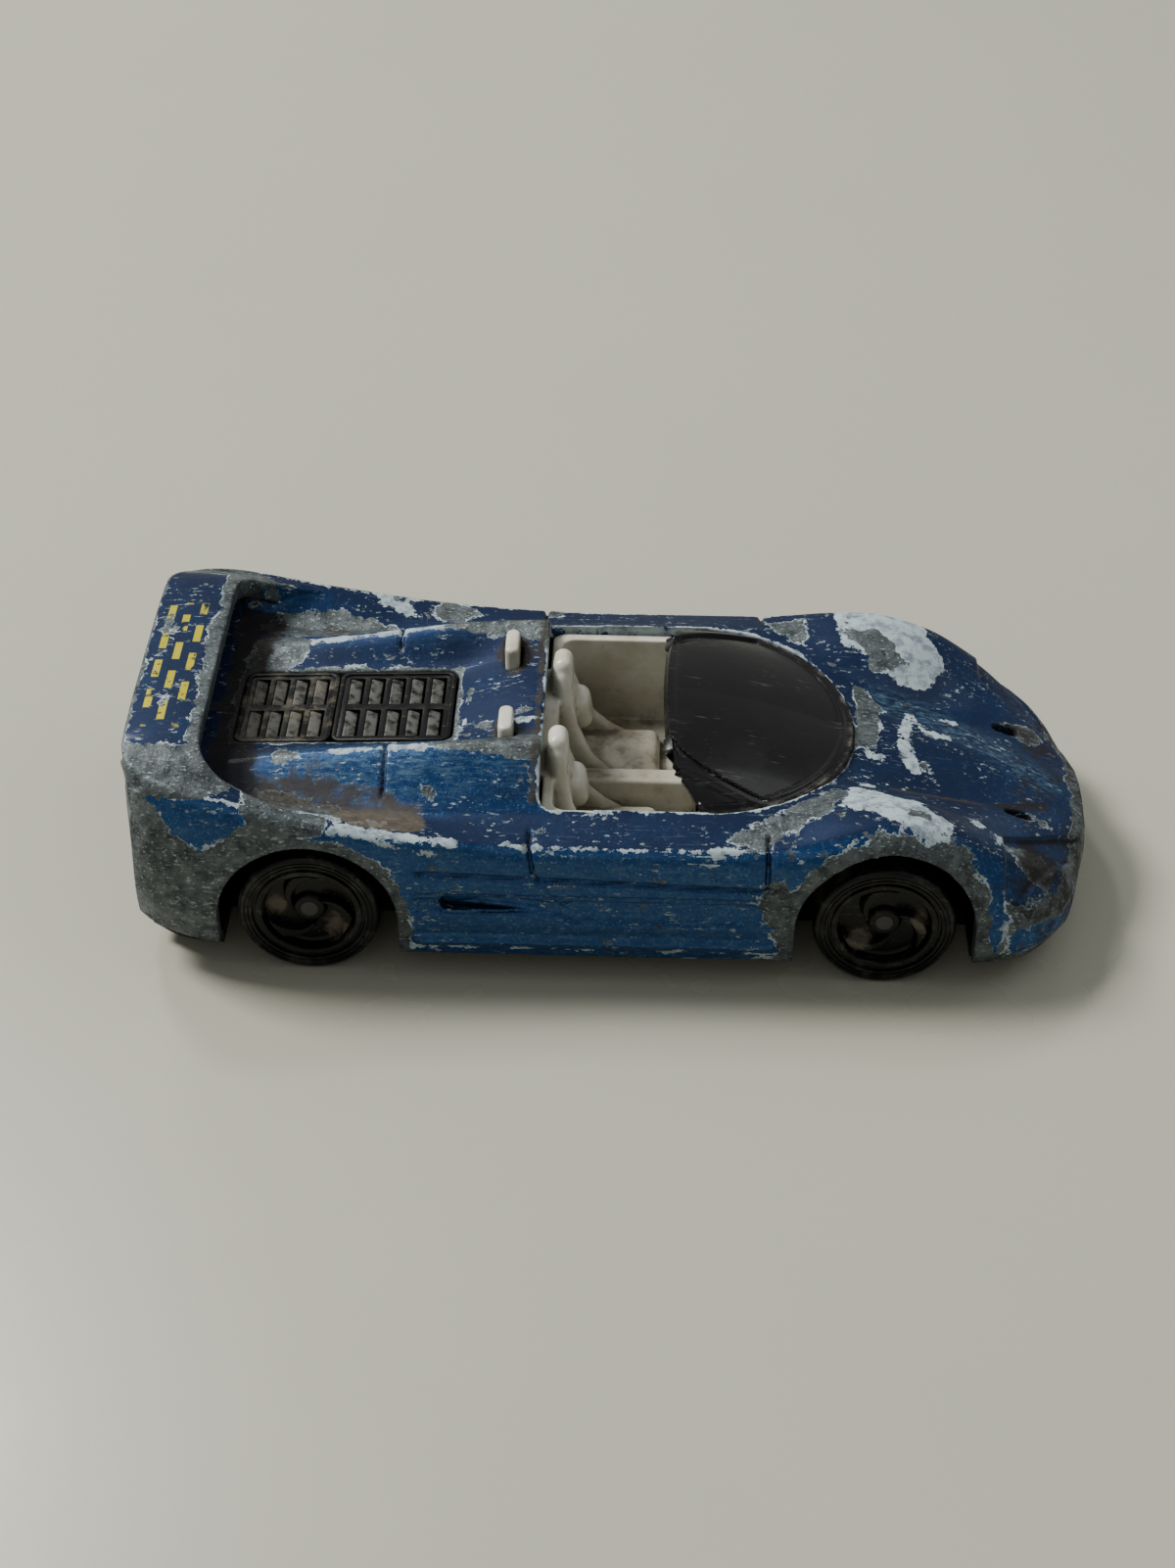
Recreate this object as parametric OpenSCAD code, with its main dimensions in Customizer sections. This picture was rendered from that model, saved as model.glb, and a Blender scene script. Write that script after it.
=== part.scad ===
// Open-top toy sports car with a wind-up motor that is charged by rolling it backwards.
// Frame: +X is the front, +Z is up, the wheels stand on Z = 0 and the origin is under the middle.

/* [Body] */
// Length over nose and wing
body_length = 68.4; // [60:0.1:84]
// Width over the flanks
body_width = 31.2; // [27:0.1:38]
// Distance between the two axles
wheelbase = 40.3; // [33.5:0.1:44]
// Front axle to the tip of the nose
front_overhang = 15.15; // [13:0.05:18]
// Wall of the casting
wall = 1.2; // [0.9:0.1:1.6]
// Height of the lower edge of the flanks
sill_z = 1.9; // [1.6:0.1:2.6]
// Height of the wing above the top of the wheel arches
wing_rise = 5.7; // [4.5:0.1:7]
// Front to back size of the wing
wing_chord = 5.6; // [4:0.1:7]
// Thickness of the wing
wing_t = 1.5; // [1:0.1:2]

/* [Wheels] */
// Diameter of the wheels
wheel_d = 10; // [8.3:0.1:12]
// Width of one wheel
wheel_w = 4.4; // [3.5:0.1:5]
// Gap between a wheel and its arch
arch_gap = 1.3; // [0.8:0.1:2]
// Diameter of both axles
axle_d = 1.2; // [1:0.05:1.5]
// How far an axle end sits inside the wheel face
axle_recess = 0.6; // [0.3:0.1:1]

/* [Cockpit] */
// Width of each door top, from the flank to the opening
door_top = 4.1; // [3.5:0.1:5]
// Wall of the seat tub
tub_t = 0.8; // [0.6:0.1:1.2]
// Thickness of the windscreen
screen_t = 0.8; // [0.6:0.1:1.2]
// Height of the windscreen header above its base
header_rise = 3.1; // [2:0.1:4]

/* [Motor] */
// Width of the motor case
motor_w = 13.6; // [12:0.1:15]
// Wall of the motor case
motor_wall = 0.7; // [0.5:0.1:1]
// Size of the gear teeth, pitch diameter over tooth count
gear_module = 0.3; // [0.27:0.01:0.31]
// Teeth of the small pinions
pinion_teeth = 8; // [8:1:9]
// Teeth of the reduction gear
reduction_teeth = 20; // [18:1:21]
// Teeth of the spring gear
spring_teeth = 20; // [18:1:21]
// Diameter of the gear pins
pin_d = 0.8; // [0.6:0.1:1]

/* [Fits] */
// Radial gap of a turning shaft
run_fit = 0.05; // [0.02:0.01:0.1]
// Gap between parts that are assembled and stay still
seat_gap = 0.1; // [0.05:0.05:0.2]

/* [Hidden] */
$fn = 48;
half_w = body_width / 2;
x_nose = body_length / 2;
x_tail = -x_nose;
xf = x_nose - front_overhang;
xr = xf - wheelbase;
axle_z = wheel_d / 2;
arch_r = axle_z + arch_gap;
arch_top = axle_z + arch_r;
track_out = half_w - 0.9;
wheel_in = track_out - wheel_w;
arch_in = wheel_in - 0.6;
cabin_half = half_w - door_top;
cabin_rear = xr + 16;
cabin_front = xf - 1.9;
screen_rear = xf - 15.5;
screen_side = xf - 13;
lug_x = xr + 13.5;

// Motor places, measured from the rear axle.
reach_1 = gear_module * (pinion_teeth + reduction_teeth) / 2;
reach_2 = gear_module * (pinion_teeth + spring_teeth) / 2;
slope_1 = 20;
slope_2 = 0;
red_x = xr + reach_1 * cos(slope_1);
red_z = axle_z + reach_1 * sin(slope_1);
spr_x = red_x + reach_2 * cos(slope_2);
spr_z = red_z + reach_2 * sin(slope_2);
spring_r = gear_module * spring_teeth / 2 + gear_module;
motor_x0 = xr - 4.4;
motor_x1 = spr_x + spring_r + 0.3 + motor_wall;
motor_z0 = sill_z - 0.3;
motor_z1 = red_z + gear_module * (reduction_teeth / 2 + 1) + 0.3 + motor_wall;
motor_y = motor_w / 2;
gear_y = motor_y - motor_wall - 0.3;
pinion_w = 1.8;
gear_w = 1.3;
base_z = sill_z - 0.5;
base_t = 1.1;
base_top = base_z + base_t;
post_d = 3;
neck_d = 2;
post_xf = xf + 8.8;
post_xr = x_tail + 4.2;

// ---------- smooth curve through points [x, value ...] ----------
function secant(p, i, k) = (p[i + 1][k] - p[i][k]) / (p[i + 1][0] - p[i][0]);
function slope_at(p, i, k) =
  i == 0 ? secant(p, 0, k) :
  i == len(p) - 1 ? secant(p, i - 1, k) :
  let (a = secant(p, i - 1, k), b = secant(p, i, k)) a * b <= 0 ? 0 : 2 * a * b / (a + b);
function span_of(p, x, i = 0) = i >= len(p) - 2 || x <= p[i + 1][0] ? i : span_of(p, x, i + 1);
function curve(p, x, k) =
  let (c = min(max(x, p[0][0]), p[len(p) - 1][0]), i = span_of(p, c), h = p[i + 1][0] - p[i][0],
       t = (c - p[i][0]) / h, s = 1 - t)
  p[i][k] * (1 + 2 * t) * s * s + slope_at(p, i, k) * h * t * s * s
  + p[i + 1][k] * (1 + 2 * s) * t * t - slope_at(p, i + 1, k) * h * s * t * t;

// ---------- character lines of the body: [x, distance in from the flank, z] ----------
line_sill = [[x_tail, 2.6, sill_z + 2.4], [x_tail + 2.6, 1, sill_z + 1.5], [x_tail + 5.7, 0.6, sill_z + 0.7],
  [xr, 0.5, sill_z + 0.1], [xr + 9, 0.7, sill_z], [xf - 7, 0.7, sill_z], [xf + 1, 0.6, sill_z],
  [xf + 9, 1.4, sill_z + 0.1], [x_nose - 2.2, 5, sill_z + 0.3], [x_nose, 12.4, sill_z + 0.5]];
line_flank = [[x_tail, 2, 7], [x_tail + 2.6, 0.5, 6.5], [x_tail + 5.7, 0.1, 5.5], [xr, 0, 5],
  [xr + 9, 0.3, 5], [xf - 7, 0.3, 5], [xf + 1, 0.1, 4.6], [xf + 9, 0.7, 3.6],
  [x_nose - 2.2, 3.8, 3.6], [x_nose, 11.6, 3.8]];
line_waist = [[x_tail, 2.8, arch_top + 1.2], [x_tail + 2.6, 0.8, arch_top + 0.7],
  [x_tail + 5.7, 0.3, arch_top + 0.3], [xr, 0.1, arch_top - 0.3], [xr + 9, 0.3, arch_top - 0.7],
  [xf - 7, 0.4, arch_top - 0.9], [xf + 1, 0.4, arch_top - 1.5], [xf + 9, 1.6, arch_top - 4.6],
  [x_nose - 2.2, 4.6, arch_top - 5.9], [x_nose, 11.9, arch_top - 6.5]];
line_ridge = [[x_tail, 4, arch_top + 4.6], [x_tail + 2.6, 2.4, arch_top + 4.3],
  [x_tail + 5.7, 1.5, arch_top + 3.6], [xr, 1.2, arch_top + 2], [xr + 9, 0.9, arch_top + 0.9],
  [xr + 21, 0.9, arch_top + 0.5], [xf - 9, 1, arch_top + 0.5], [xf, 2.4, arch_top + 1.6],
  [xf + 4, 2.8, arch_top + 0.7], [xf + 8, 3.4, arch_top - 1.5], [x_nose - 3.2, 5.6, arch_top - 4.1],
  [x_nose, 12.2, arch_top - 5.6]];
line_valley = [[x_tail, 5.2, arch_top + 1.4], [x_tail + 5.7, 4.4, arch_top + 0.9], [xr, 4.8, arch_top + 0.5],
  [xr + 9, 3.9, arch_top + 0.6], [xf - 13, 3.8, arch_top + 1], [xf - 7, 4.3, arch_top + 0.9],
  [xf - 2, 5.4, arch_top + 1.4], [xf + 2, 6, arch_top + 0.9], [xf + 6, 6.6, arch_top - 0.9],
  [xf + 10, 8, arch_top - 2.9], [x_nose, 13.4, arch_top - 5.3]];
line_crest = [[x_tail, half_w - 6.8, arch_top + 0.9], [x_tail + 7.3, half_w - 7.1, arch_top + 1.6],
  [xr, half_w - 7.2, arch_top + 2.3], [xr + 15.5, half_w - 7.7, arch_top + 4],
  [xf - 7, half_w - 7.6, arch_top + 0.9], [xf - 2, half_w - 6.5, arch_top + 0.1],
  [xf + 3, half_w - 5.8, arch_top - 1.3], [xf + 8, half_w - 5, arch_top - 2.7], [x_nose, half_w - 1.6, arch_top - 5.1]];
line_deck = [[x_tail, half_w - 4.3, arch_top + 0.7], [x_tail + 7.3, half_w - 4.4, arch_top + 1],
  [xr + 9, half_w - 4.6, arch_top + 1.6], [xr + 15.5, half_w - 4.7, arch_top + 2.1],
  [xf - 7, half_w - 4.8, arch_top + 0.9], [xf - 2, half_w - 4, arch_top - 0.1],
  [xf + 3, half_w - 3, arch_top - 1.1], [xf + 8, half_w - 2.6, arch_top - 2.4], [x_nose, half_w - 1, arch_top - 5]];
line_centre = [[x_tail, half_w, arch_top + 0.7], [x_tail + 7.3, half_w, arch_top + 1],
  [xr + 9, half_w, arch_top + 1.6], [xr + 15.5, half_w, arch_top + 2.2], [xf - 7, half_w, arch_top + 0.9],
  [xf - 2, half_w, arch_top], [xf + 3, half_w, arch_top - 0.8], [xf + 8, half_w, arch_top - 2.1],
  [x_nose, half_w, arch_top - 5]];
body_lines = [line_sill, line_flank, line_waist, line_ridge, line_valley, line_crest, line_deck, line_centre];

// Half of one section, from the lower edge to the middle, drawn in by a wall.
// The ridge (line 3) stays as low as the valley inside, so that the rear fins are solid.
function half_ring(x, t, drop) =
  let (xs = x + t * min(max(x / 8, -1), 1), low = curve(line_valley, xs, 2) - t / 2)
  [for (i = [0 : len(body_lines) - 1])
    let (y = half_w - curve(body_lines[i], xs, 1) - (i < 4 ? t : 0), z = curve(body_lines[i], xs, 2) - t)
    [x, max(y, 0), t == 0 ? z : i == 0 ? drop : max(i == 3 ? min(z, low) : z, drop + 0.2 * i)]];
function ring(x, t, drop) =
  let (h = half_ring(x, t, drop), n = len(h))
  concat(h, [for (i = [n - 2 : -1 : 0]) [h[i][0], -h[i][1], h[i][2]]]);
// Body sections lie closer together near both ends.
function station(i, n, a, b) = a + (b - a) * (1 - cos(180 * i / n)) / 2;

// A closed solid through equal rings of points.
module skin(rings) {
  n = len(rings[0]);
  m = len(rings);
  side = [for (i = [0 : m - 2]) for (j = [0 : n - 1])
    each [[i * n + j, (i + 1) * n + j, i * n + (j + 1) % n],
          [i * n + (j + 1) % n, (i + 1) * n + j, (i + 1) * n + (j + 1) % n]]];
  ends = [[for (j = [0 : n - 1]) j], [for (j = [n - 1 : -1 : 0]) (m - 1) * n + j]];
  polyhedron(points = [for (r = rings) each r], faces = concat(side, ends), convexity = 10);
}

// Half outline of the cockpit opening, drawn in by a gap; the windscreen end is half an ellipse.
module cabin_outline(gap, x1) {
  b = cabin_half - gap;
  a = cabin_front - gap - screen_side;
  intersection() {
    translate([cabin_rear + gap, -half_w]) square([x1 - cabin_rear - gap, body_width]);
    union() {
      translate([cabin_rear + gap + 1, 0]) offset(r = 1, $fn = 24)
        translate([0, 1 - b]) square([screen_side - cabin_rear - gap - 1, 2 * b - 2]);
      translate([screen_side, 0]) scale([a / b, 1]) circle(r = b, $fn = 64);
    }
  }
}

// ---------- body casting ----------
module flank_mirror() {
  children();
  mirror([0, 1, 0]) children();
}
module arches() {
  for (x = [xr, xf], s = [-1, 1])
    translate([x, s * (arch_in + 5), axle_z]) rotate([90, 0, 0]) cylinder(r = arch_r, h = 10, center = true);
}
module wing() {
  tip = half_w - 3.6;
  for (s = [-1, 1]) hull() for (y = [0, s * tip], x = [x_tail + 1, x_tail + wing_chord - 0.7])
    translate([x, y, arch_top + wing_rise - wing_t / 2 - 0.04 * abs(y)])
      cylinder(r = 0.7, h = wing_t - 0.1, center = true, $fn = 24);
  for (s = [-1, 1]) hull() {
    translate([x_tail + 1, s * (tip - 0.4), arch_top + 2]) cylinder(r = 0.9, h = 3, $fn = 24);
    translate([x_tail + wing_chord - 1, s * (tip - 0.4), arch_top + 2]) cylinder(r = 0.9, h = 2, $fn = 24);
  }
}
module posts() {
  for (p = [[post_xf, arch_top - 3.6], [post_xr, arch_top]]) {
    translate([p[0], 0, base_top]) rotate(3) cylinder(d = post_d, h = p[1] - base_top, $fn = 30);
    translate([p[0], 0, base_z + 0.3]) cylinder(d = neck_d, h = base_t, $fn = 32);
    translate([p[0], 0, base_z + 0.05]) cylinder(d = post_d + 0.3, h = 0.45, $fn = 32);
  }
}
module stadium(x, y, z, l, w, h) {
  hull() for (s = [-1, 1]) translate([x, y + s * (l - w) / 2, z]) cylinder(d = w, h = h, $fn = 16);
}
module side_details() {
  scoop_x = xr + 10.5;
  hull() {
    translate([scoop_x, -half_w, 5.2]) sphere(r = 0.9, $fn = 16);
    translate([scoop_x + 3.6, -half_w - 0.1, 5.6]) sphere(r = 0.9, $fn = 16);
    translate([scoop_x + 9, -half_w - 0.5, 5.4]) sphere(r = 0.5, $fn = 16);
  }
  for (z = [arch_top - 2, arch_top - 4.6])
    translate([xr + 8, -half_w - 1, z]) cube([xf - xr - 16, 1.45, 0.3]);
  for (x = [xr + 15.6, xf - 8.4])
    translate([x, -half_w - 1, sill_z + 1.6]) cube([0.3, 1.6, arch_top - sill_z - 1.4]);
}
module nose_details() {
  hull() for (x = [xf + 9.4, xf + 11])
    translate([x, -5.2, arch_top - 4.4]) cylinder(d = 1.5, h = 6, $fn = 16);
  hull() for (p = [[xf + 8.6, -9.8], [xf + 11.6, -8.2], [xf + 9, -11.6]])
    translate([p[0], p[1], arch_top - 3.7]) cylinder(d = 0.8, h = 1.6, $fn = 12);
}
module body_shell() color([0.07, 0.16, 0.42]) {
  n = 42;
  c = 29;
  difference() {
    union() {
      difference() {
        skin([for (i = [0 : n]) ring(station(i, n, x_tail, x_nose), 0, sill_z)]);
        skin([for (i = [0 : c]) ring(station(i, c, x_tail + wall, x_nose - wall), wall, -1)]);
      }
      wing();
      posts();
    }
    translate([0, 0, arch_top - 5]) linear_extrude(20) cabin_outline(0, cabin_front);
    translate([xr - 6.3, -4.4, arch_top - 2]) cube([15.8, 8.8, 6]);
    arches();
    for (s = [-1, 1]) stadium(lug_x, s * 4.8, arch_top - 1, 3.3, 1.3, 6);
    flank_mirror() side_details();
    flank_mirror() nose_details();
    hull() for (s = [-1, 1]) translate([x_nose, s * 2.2, 4.6]) rotate([0, 90, 0])
      cylinder(d = 0.9, h = 1.2, center = true, $fn = 12);
    hull() for (s = [-1, 1], z = [6.6, arch_top - 1.6]) translate([x_tail, s * (half_w - 6), z])
      rotate([0, 90, 0]) cylinder(r = 0.8, h = 0.9, center = true, $fn = 16);
  }
}

// ---------- base ----------
module base_outline(gap) {
  n = 36;
  pts = [for (i = [0 : n]) let (x = station(i, n, x_tail + wall + gap, x_nose - wall - gap),
    h = half_ring(x, wall + gap, 0)) [x, h[0][1]]];
  polygon(concat(pts, [for (i = [n : -1 : 0]) [pts[i][0], -pts[i][1]]]));
}
module base_plate() color([0.06, 0.06, 0.065]) {
  cheek_r = axle_d / 2 + 1;
  difference() {
    union() {
      translate([0, 0, base_z]) linear_extrude(base_t) base_outline(seat_gap);
      for (s = [-1, 1]) translate([xf, s * 7.5, 0]) {
        translate([0.1 - cheek_r, -0.7, base_top - 0.2]) cube([2 * cheek_r - 0.2, 1.4, axle_z - base_top + 0.2]);
        translate([0, 0, axle_z]) rotate([90, 0, 0]) cylinder(r = cheek_r, h = 1.4, center = true);
      }
      translate([x_tail + wall + seat_gap + 0.05, 4.5 - half_w, base_top - 0.5]) cube([1, body_width - 9, 3.3]);
    }
    for (x = [xr, xf], s = [-1, 1])
      translate([x - arch_r, s * (arch_in + 5) - 5, base_z - 1]) cube([2 * arch_r, 10, 8]);
    translate([motor_x0 - seat_gap, -motor_y - seat_gap, base_z - 1])
      cube([motor_x1 - motor_x0 + 2 * seat_gap, motor_w + 2 * seat_gap, base_t + 2]);
    for (x = [post_xf, post_xr]) {
      translate([x, 0, base_z - 1]) cylinder(d = neck_d + 0.1, h = 4);
      translate([x, 0, base_z - 1]) cylinder(d = post_d + 0.5, h = 1.5);
    }
    translate([xf, 0, axle_z]) rotate([90, 0, 0]) cylinder(r = axle_d / 2 + run_fit, h = 20, center = true);
  }
}

// ---------- seat tub ----------
tub_floor = base_top + 1.8;
tub_rim = arch_top + 0.85;
seat_y = cabin_half * 0.42;
module seat() {
  back_x = cabin_rear + 1.6;
  hull() {
    translate([back_x, -2.2, tub_floor + 1]) sphere(r = 0.8, $fn = 16);
    translate([back_x, 2.2, tub_floor + 1]) sphere(r = 0.8, $fn = 16);
    translate([back_x - 0.4, -1.9, tub_rim - 0.6]) sphere(r = 0.8, $fn = 16);
    translate([back_x - 0.4, 1.9, tub_rim - 0.6]) sphere(r = 0.8, $fn = 16);
  }
  hull() for (s = [-1, 1]) {
    translate([back_x - 0.4, s * 1.1, tub_rim]) sphere(r = 0.7, $fn = 16);
    translate([back_x - 0.4, s * 0.8, tub_rim + 1.4]) sphere(r = 0.7, $fn = 16);
  }
  for (s = [-1, 1]) hull() {
    translate([back_x, s * 3, tub_floor + 0.4]) sphere(r = 0.7, $fn = 16);
    translate([back_x + 6, s * 3, tub_floor + 0.2]) sphere(r = 0.7, $fn = 16);
    translate([back_x, s * 2.8, tub_rim - 2.4]) sphere(r = 0.6, $fn = 16);
  }
  hull() for (s = [-1, 1]) {
    translate([back_x, s * 2.6, tub_floor + 0.2]) sphere(r = 0.9, $fn = 16);
    translate([back_x + 6.2, s * 2.6, tub_floor + 0.4]) sphere(r = 0.9, $fn = 16);
  }
}
module interior_tub() color([0.86, 0.84, 0.76]) {
  front = cabin_front - 2.5;
  difference() {
    translate([0, 0, tub_floor - tub_t]) linear_extrude(tub_rim - tub_floor + tub_t)
      cabin_outline(seat_gap, front);
    translate([0, 0, tub_floor]) linear_extrude(20)
      cabin_outline(seat_gap + tub_t, front - tub_t);
    translate([screen_side - 0.4, -half_w, arch_top - 1.3]) cube([30, body_width, 10]);
  }
  for (s = [-1, 1]) {
    translate([cabin_rear + 3, s * 7 - 0.5, base_top]) cube([front - cabin_rear - 5.9, 1, tub_floor - base_top]);
    translate([0, s * seat_y, 0]) seat();
    stadium(lug_x, s * 4.8, arch_top - 0.3, 3, 1, 3.8);
  }
  hull() {
    translate([cabin_rear + 0.5, -1.1, tub_floor - 0.2]) cube([front - cabin_rear - 1.5, 2.2, 1.6]);
    translate([cabin_rear + 0.5, -0.8, tub_floor]) cube([front - cabin_rear - 5, 1.6, 2.6]);
  }
  translate([lug_x - 1.2, -6.6, arch_top - 0.3]) cube([cabin_rear - lug_x + 1.6, 13.2, 0.7]);
  hull() for (s = [-1, 1]) translate([screen_side + 1.5, s * (cabin_half - 2.4), arch_top - 3.4])
    sphere(r = 1.6, $fn = 16);
}

// ---------- windscreen ----------
// A fan of ribs from the header down to the half ellipse of the base.
function screen_point(s, t, drop) =
  let (q = 90 * t, b = cabin_half - seat_gap, a = cabin_front - seat_gap - screen_side,
       foot = [screen_side + a * cos(q), b * sin(q), arch_top + 0.4 + 0.6 * abs(sin(q))],
       head = [screen_rear + 0.6 * t * t, 0.72 * b * t, arch_top + 0.9 + header_rise - 1.1 * t * t],
       bulge = 0.5 * sin(180 * s) * (1 - 0.6 * t * t))
  [head[0] + (foot[0] - head[0]) * s, head[1] + (foot[1] - head[1]) * s,
   head[2] + (foot[2] - head[2]) * s + bulge - drop];
module windscreen() color([0.05, 0.05, 0.06, 0.9]) {
  n = 12;
  m = 36;
  skin([for (j = [0 : m]) let (t = -1 + 2 * j / m)
    concat([for (i = [0 : n]) screen_point(i / n, t, 0)],
           [for (i = [n : -1 : 0]) screen_point(i / n, t, screen_t)])]);
}

// ---------- louvre inserts ----------
module louvre_panel(x0, x1, rows) {
  pitch = (x1 - x0 - 1) / rows;
  z = arch_top + 0.95 + 0.04 * (x0 - xr + 6.3);
  translate([x0, 0, z]) rotate([0, -2.2, 0]) difference() {
    translate([0, -4.3, -1.1]) cube([x1 - x0, 8.6, 1.1]);
    for (i = [0 : rows - 1], s = [-1, 1])
      translate([0.5 + pitch * (i + 0.2), s * 2.05 - 1.6, 0]) rotate([0, 30, 0])
        translate([0, 0, -0.55]) cube([pitch * 0.62, 3.2, 1.2]);
  }
}
module louvre_front() color([0.04, 0.04, 0.045]) louvre_panel(xr + 0.8, xr + 9.35, 5);
module louvre_rear() color([0.1, 0.1, 0.1]) louvre_panel(xr - 6.2, xr + 0.7, 4);

// ---------- wheels and axles ----------
module across(x, y, z, side) {
  translate([x, side * y, z]) rotate([-90 * side, 0, 0]) children();
}
module wheel() {
  r = wheel_d / 2;
  dish = -1;
  hub = axle_d / 2 + 0.45;
  rotate_extrude($fn = 72) polygon([
    [axle_d / 2, -wheel_w], [r - 0.3, -wheel_w], [r, -wheel_w + 0.3], [r, -0.35], [r - 0.3, 0],
    [r - 0.95, 0], [r - 1.05, -0.2], [r - 1.2, -0.2], [r - 1.3, -0.02], [r - 1.75, -0.1],
    [r - 1.9, dish], [hub + 0.2, dish], [hub, -axle_recess], [axle_d / 2, -axle_recess]]);
  blade = 12;
  for (k = [0 : 2]) rotate([0, 0, 120 * k]) translate([0, 0, dish - 0.2]) linear_extrude(0.2 - dish - 0.3)
    polygon(concat(
      [for (i = [0 : blade]) let (u = i / blade, p = hub - 0.1 + (r - 1.6 - hub) * u, q = 70 * u)
        [p * cos(q), p * sin(q)]],
      [for (i = [blade : -1 : 0]) let (u = i / blade, p = hub - 0.1 + (r - 1.6 - hub) * u, q = 70 * u + 26 + 20 * u)
        [p * cos(q), p * sin(q)]]));
}
module axle(x) color([0.55, 0.55, 0.56]) {
  half = track_out - axle_recess;
  translate([x, 0, axle_z]) rotate([90, 0, 0]) cylinder(d = axle_d, h = 2 * half, center = true);
}
module front_axle() axle(xf);
module rear_axle() axle(xr);
module wheel_front_left() color([0.05, 0.05, 0.05]) across(xf, track_out, axle_z, 1) wheel();
module wheel_front_right() color([0.05, 0.05, 0.05]) across(xf, track_out, axle_z, -1) wheel();
module wheel_rear_left() color([0.05, 0.05, 0.05]) across(xr, track_out, axle_z, 1) wheel();
module wheel_rear_right() color([0.05, 0.05, 0.05]) across(xr, track_out, axle_z, -1) wheel();

// ---------- wind-up motor ----------
function gear_outline(teeth, phase) =
  let (p = 360 / teeth, root = gear_module * (teeth / 2 - 1.15), tip = gear_module * (teeth / 2 + 0.85),
       mid = gear_module * teeth / 2)
  [for (k = [0 : teeth - 1]) for (c = [[root, -0.24], [mid, -0.19], [tip, -0.08], [tip, 0.08], [mid, 0.19], [root, 0.24]])
    let (q = phase + (k + c[1]) * p) [c[0] * cos(q), c[0] * sin(q)]];
module gear(teeth, phase, w) {
  linear_extrude(w) polygon(gear_outline(teeth, phase));
}
// Places a shape drawn in X and Z so that it runs back from y along -Y.
module at_y(x, z, y) {
  translate([x, y, z]) rotate([90, 0, 0]) children();
}
module axle_pinion() color([0.85, 0.82, 0.7]) at_y(xr, axle_z, gear_y) difference() {
  gear(pinion_teeth, slope_1, pinion_w);
  translate([0, 0, -1]) cylinder(d = axle_d, h = pinion_w + 2);
}
module reduction_gear() color([0.82, 0.82, 0.8]) at_y(red_x, red_z, gear_y - 0.25) difference() {
  union() {
    gear(reduction_teeth, slope_1 + 180 + 180 / reduction_teeth, gear_w);
    gear(pinion_teeth, slope_2, gear_w + 0.7 + pinion_w);
  }
  translate([0, 0, -1]) cylinder(r = pin_d / 2 + run_fit, h = 10);
}
module reduction_pin() color([0.6, 0.6, 0.62])
  at_y(red_x, red_z, motor_y - 0.1) cylinder(d = pin_d, h = motor_w - 0.2);
module spring_arbor() color([0.6, 0.6, 0.62])
  at_y(spr_x, spr_z, motor_y - 0.1) cylinder(d = pin_d, h = motor_w - 0.2);
cup_y = gear_y - 0.25 - gear_w - 0.85;
module spring_gear() color([0.78, 0.2, 0.16]) at_y(spr_x, spr_z, cup_y) difference() {
  union() {
    gear(spring_teeth, slope_2 + 180 + 180 / spring_teeth, gear_w);
    cylinder(r = spring_r - 0.6, h = gear_w + 5);
  }
  translate([0, 0, gear_w]) cylinder(r = spring_r - 1, h = 10);
  translate([0, 0, -1]) cylinder(r = pin_d / 2 + run_fit, h = 20);
}
module mainspring() color([0.35, 0.38, 0.45]) {
  turns = 4;
  steps = 24 * turns;
  r0 = pin_d / 2 + 0.25;
  r1 = spring_r - 1.12;
  band = 0.12;
  at_y(spr_x, spr_z, cup_y - gear_w - 0.2) linear_extrude(4.4) polygon(concat(
    [for (i = [0 : steps]) let (r = r0 + (r1 - r0) * i / steps, q = 360 * turns * i / steps) [r * cos(q), r * sin(q)]],
    [for (i = [steps : -1 : 0]) let (r = r0 + band + (r1 - r0) * i / steps, q = 360 * turns * i / steps)
      [r * cos(q), r * sin(q)]]));
}
module case_bores() {
  translate([xr, 0, axle_z]) rotate([90, 0, 0]) cylinder(r = axle_d / 2 + run_fit, h = 30, center = true);
  for (p = [[red_x, red_z], [spr_x, spr_z]])
    translate([p[0], 0, p[1]]) rotate([90, 0, 0]) cylinder(d = pin_d, h = 30, center = true);
}
module motor_case() color([0.72, 0.72, 0.7]) difference() {
  union() {
    translate([motor_x0, -motor_y, motor_z0])
      cube([motor_x1 - motor_x0, motor_w - motor_wall, motor_z1 - motor_z0]);
    for (x = [motor_x0 - 1.4, motor_x1 - 0.1]) translate([x, -3, base_top]) cube([1.5, 6, 0.8]);
  }
  translate([motor_x0 + motor_wall, -motor_y + motor_wall, motor_z0 + motor_wall])
    cube([motor_x1 - motor_x0 - 2 * motor_wall, motor_w, motor_z1 - motor_z0 - 2 * motor_wall]);
  case_bores();
}
module motor_cover() color([0.72, 0.72, 0.7]) difference() {
  translate([motor_x0, motor_y - motor_wall, motor_z0])
    cube([motor_x1 - motor_x0, motor_wall, motor_z1 - motor_z0]);
  case_bores();
}

body_shell();
base_plate();
interior_tub();
windscreen();
louvre_front();
louvre_rear();
front_axle();
wheel_front_left();
wheel_front_right();
rear_axle();
wheel_rear_left();
wheel_rear_right();
axle_pinion();
motor_case();
motor_cover();
reduction_gear();
reduction_pin();
spring_gear();
spring_arbor();
mainspring();
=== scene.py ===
"""Looks of a worn open-top toy sports car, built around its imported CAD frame."""
import functools
import logging
import math
from dataclasses import dataclass, field
from enum import Enum
from typing import Callable, Sequence

import bpy
import numpy as np
from mathutils import Matrix, Vector


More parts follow.
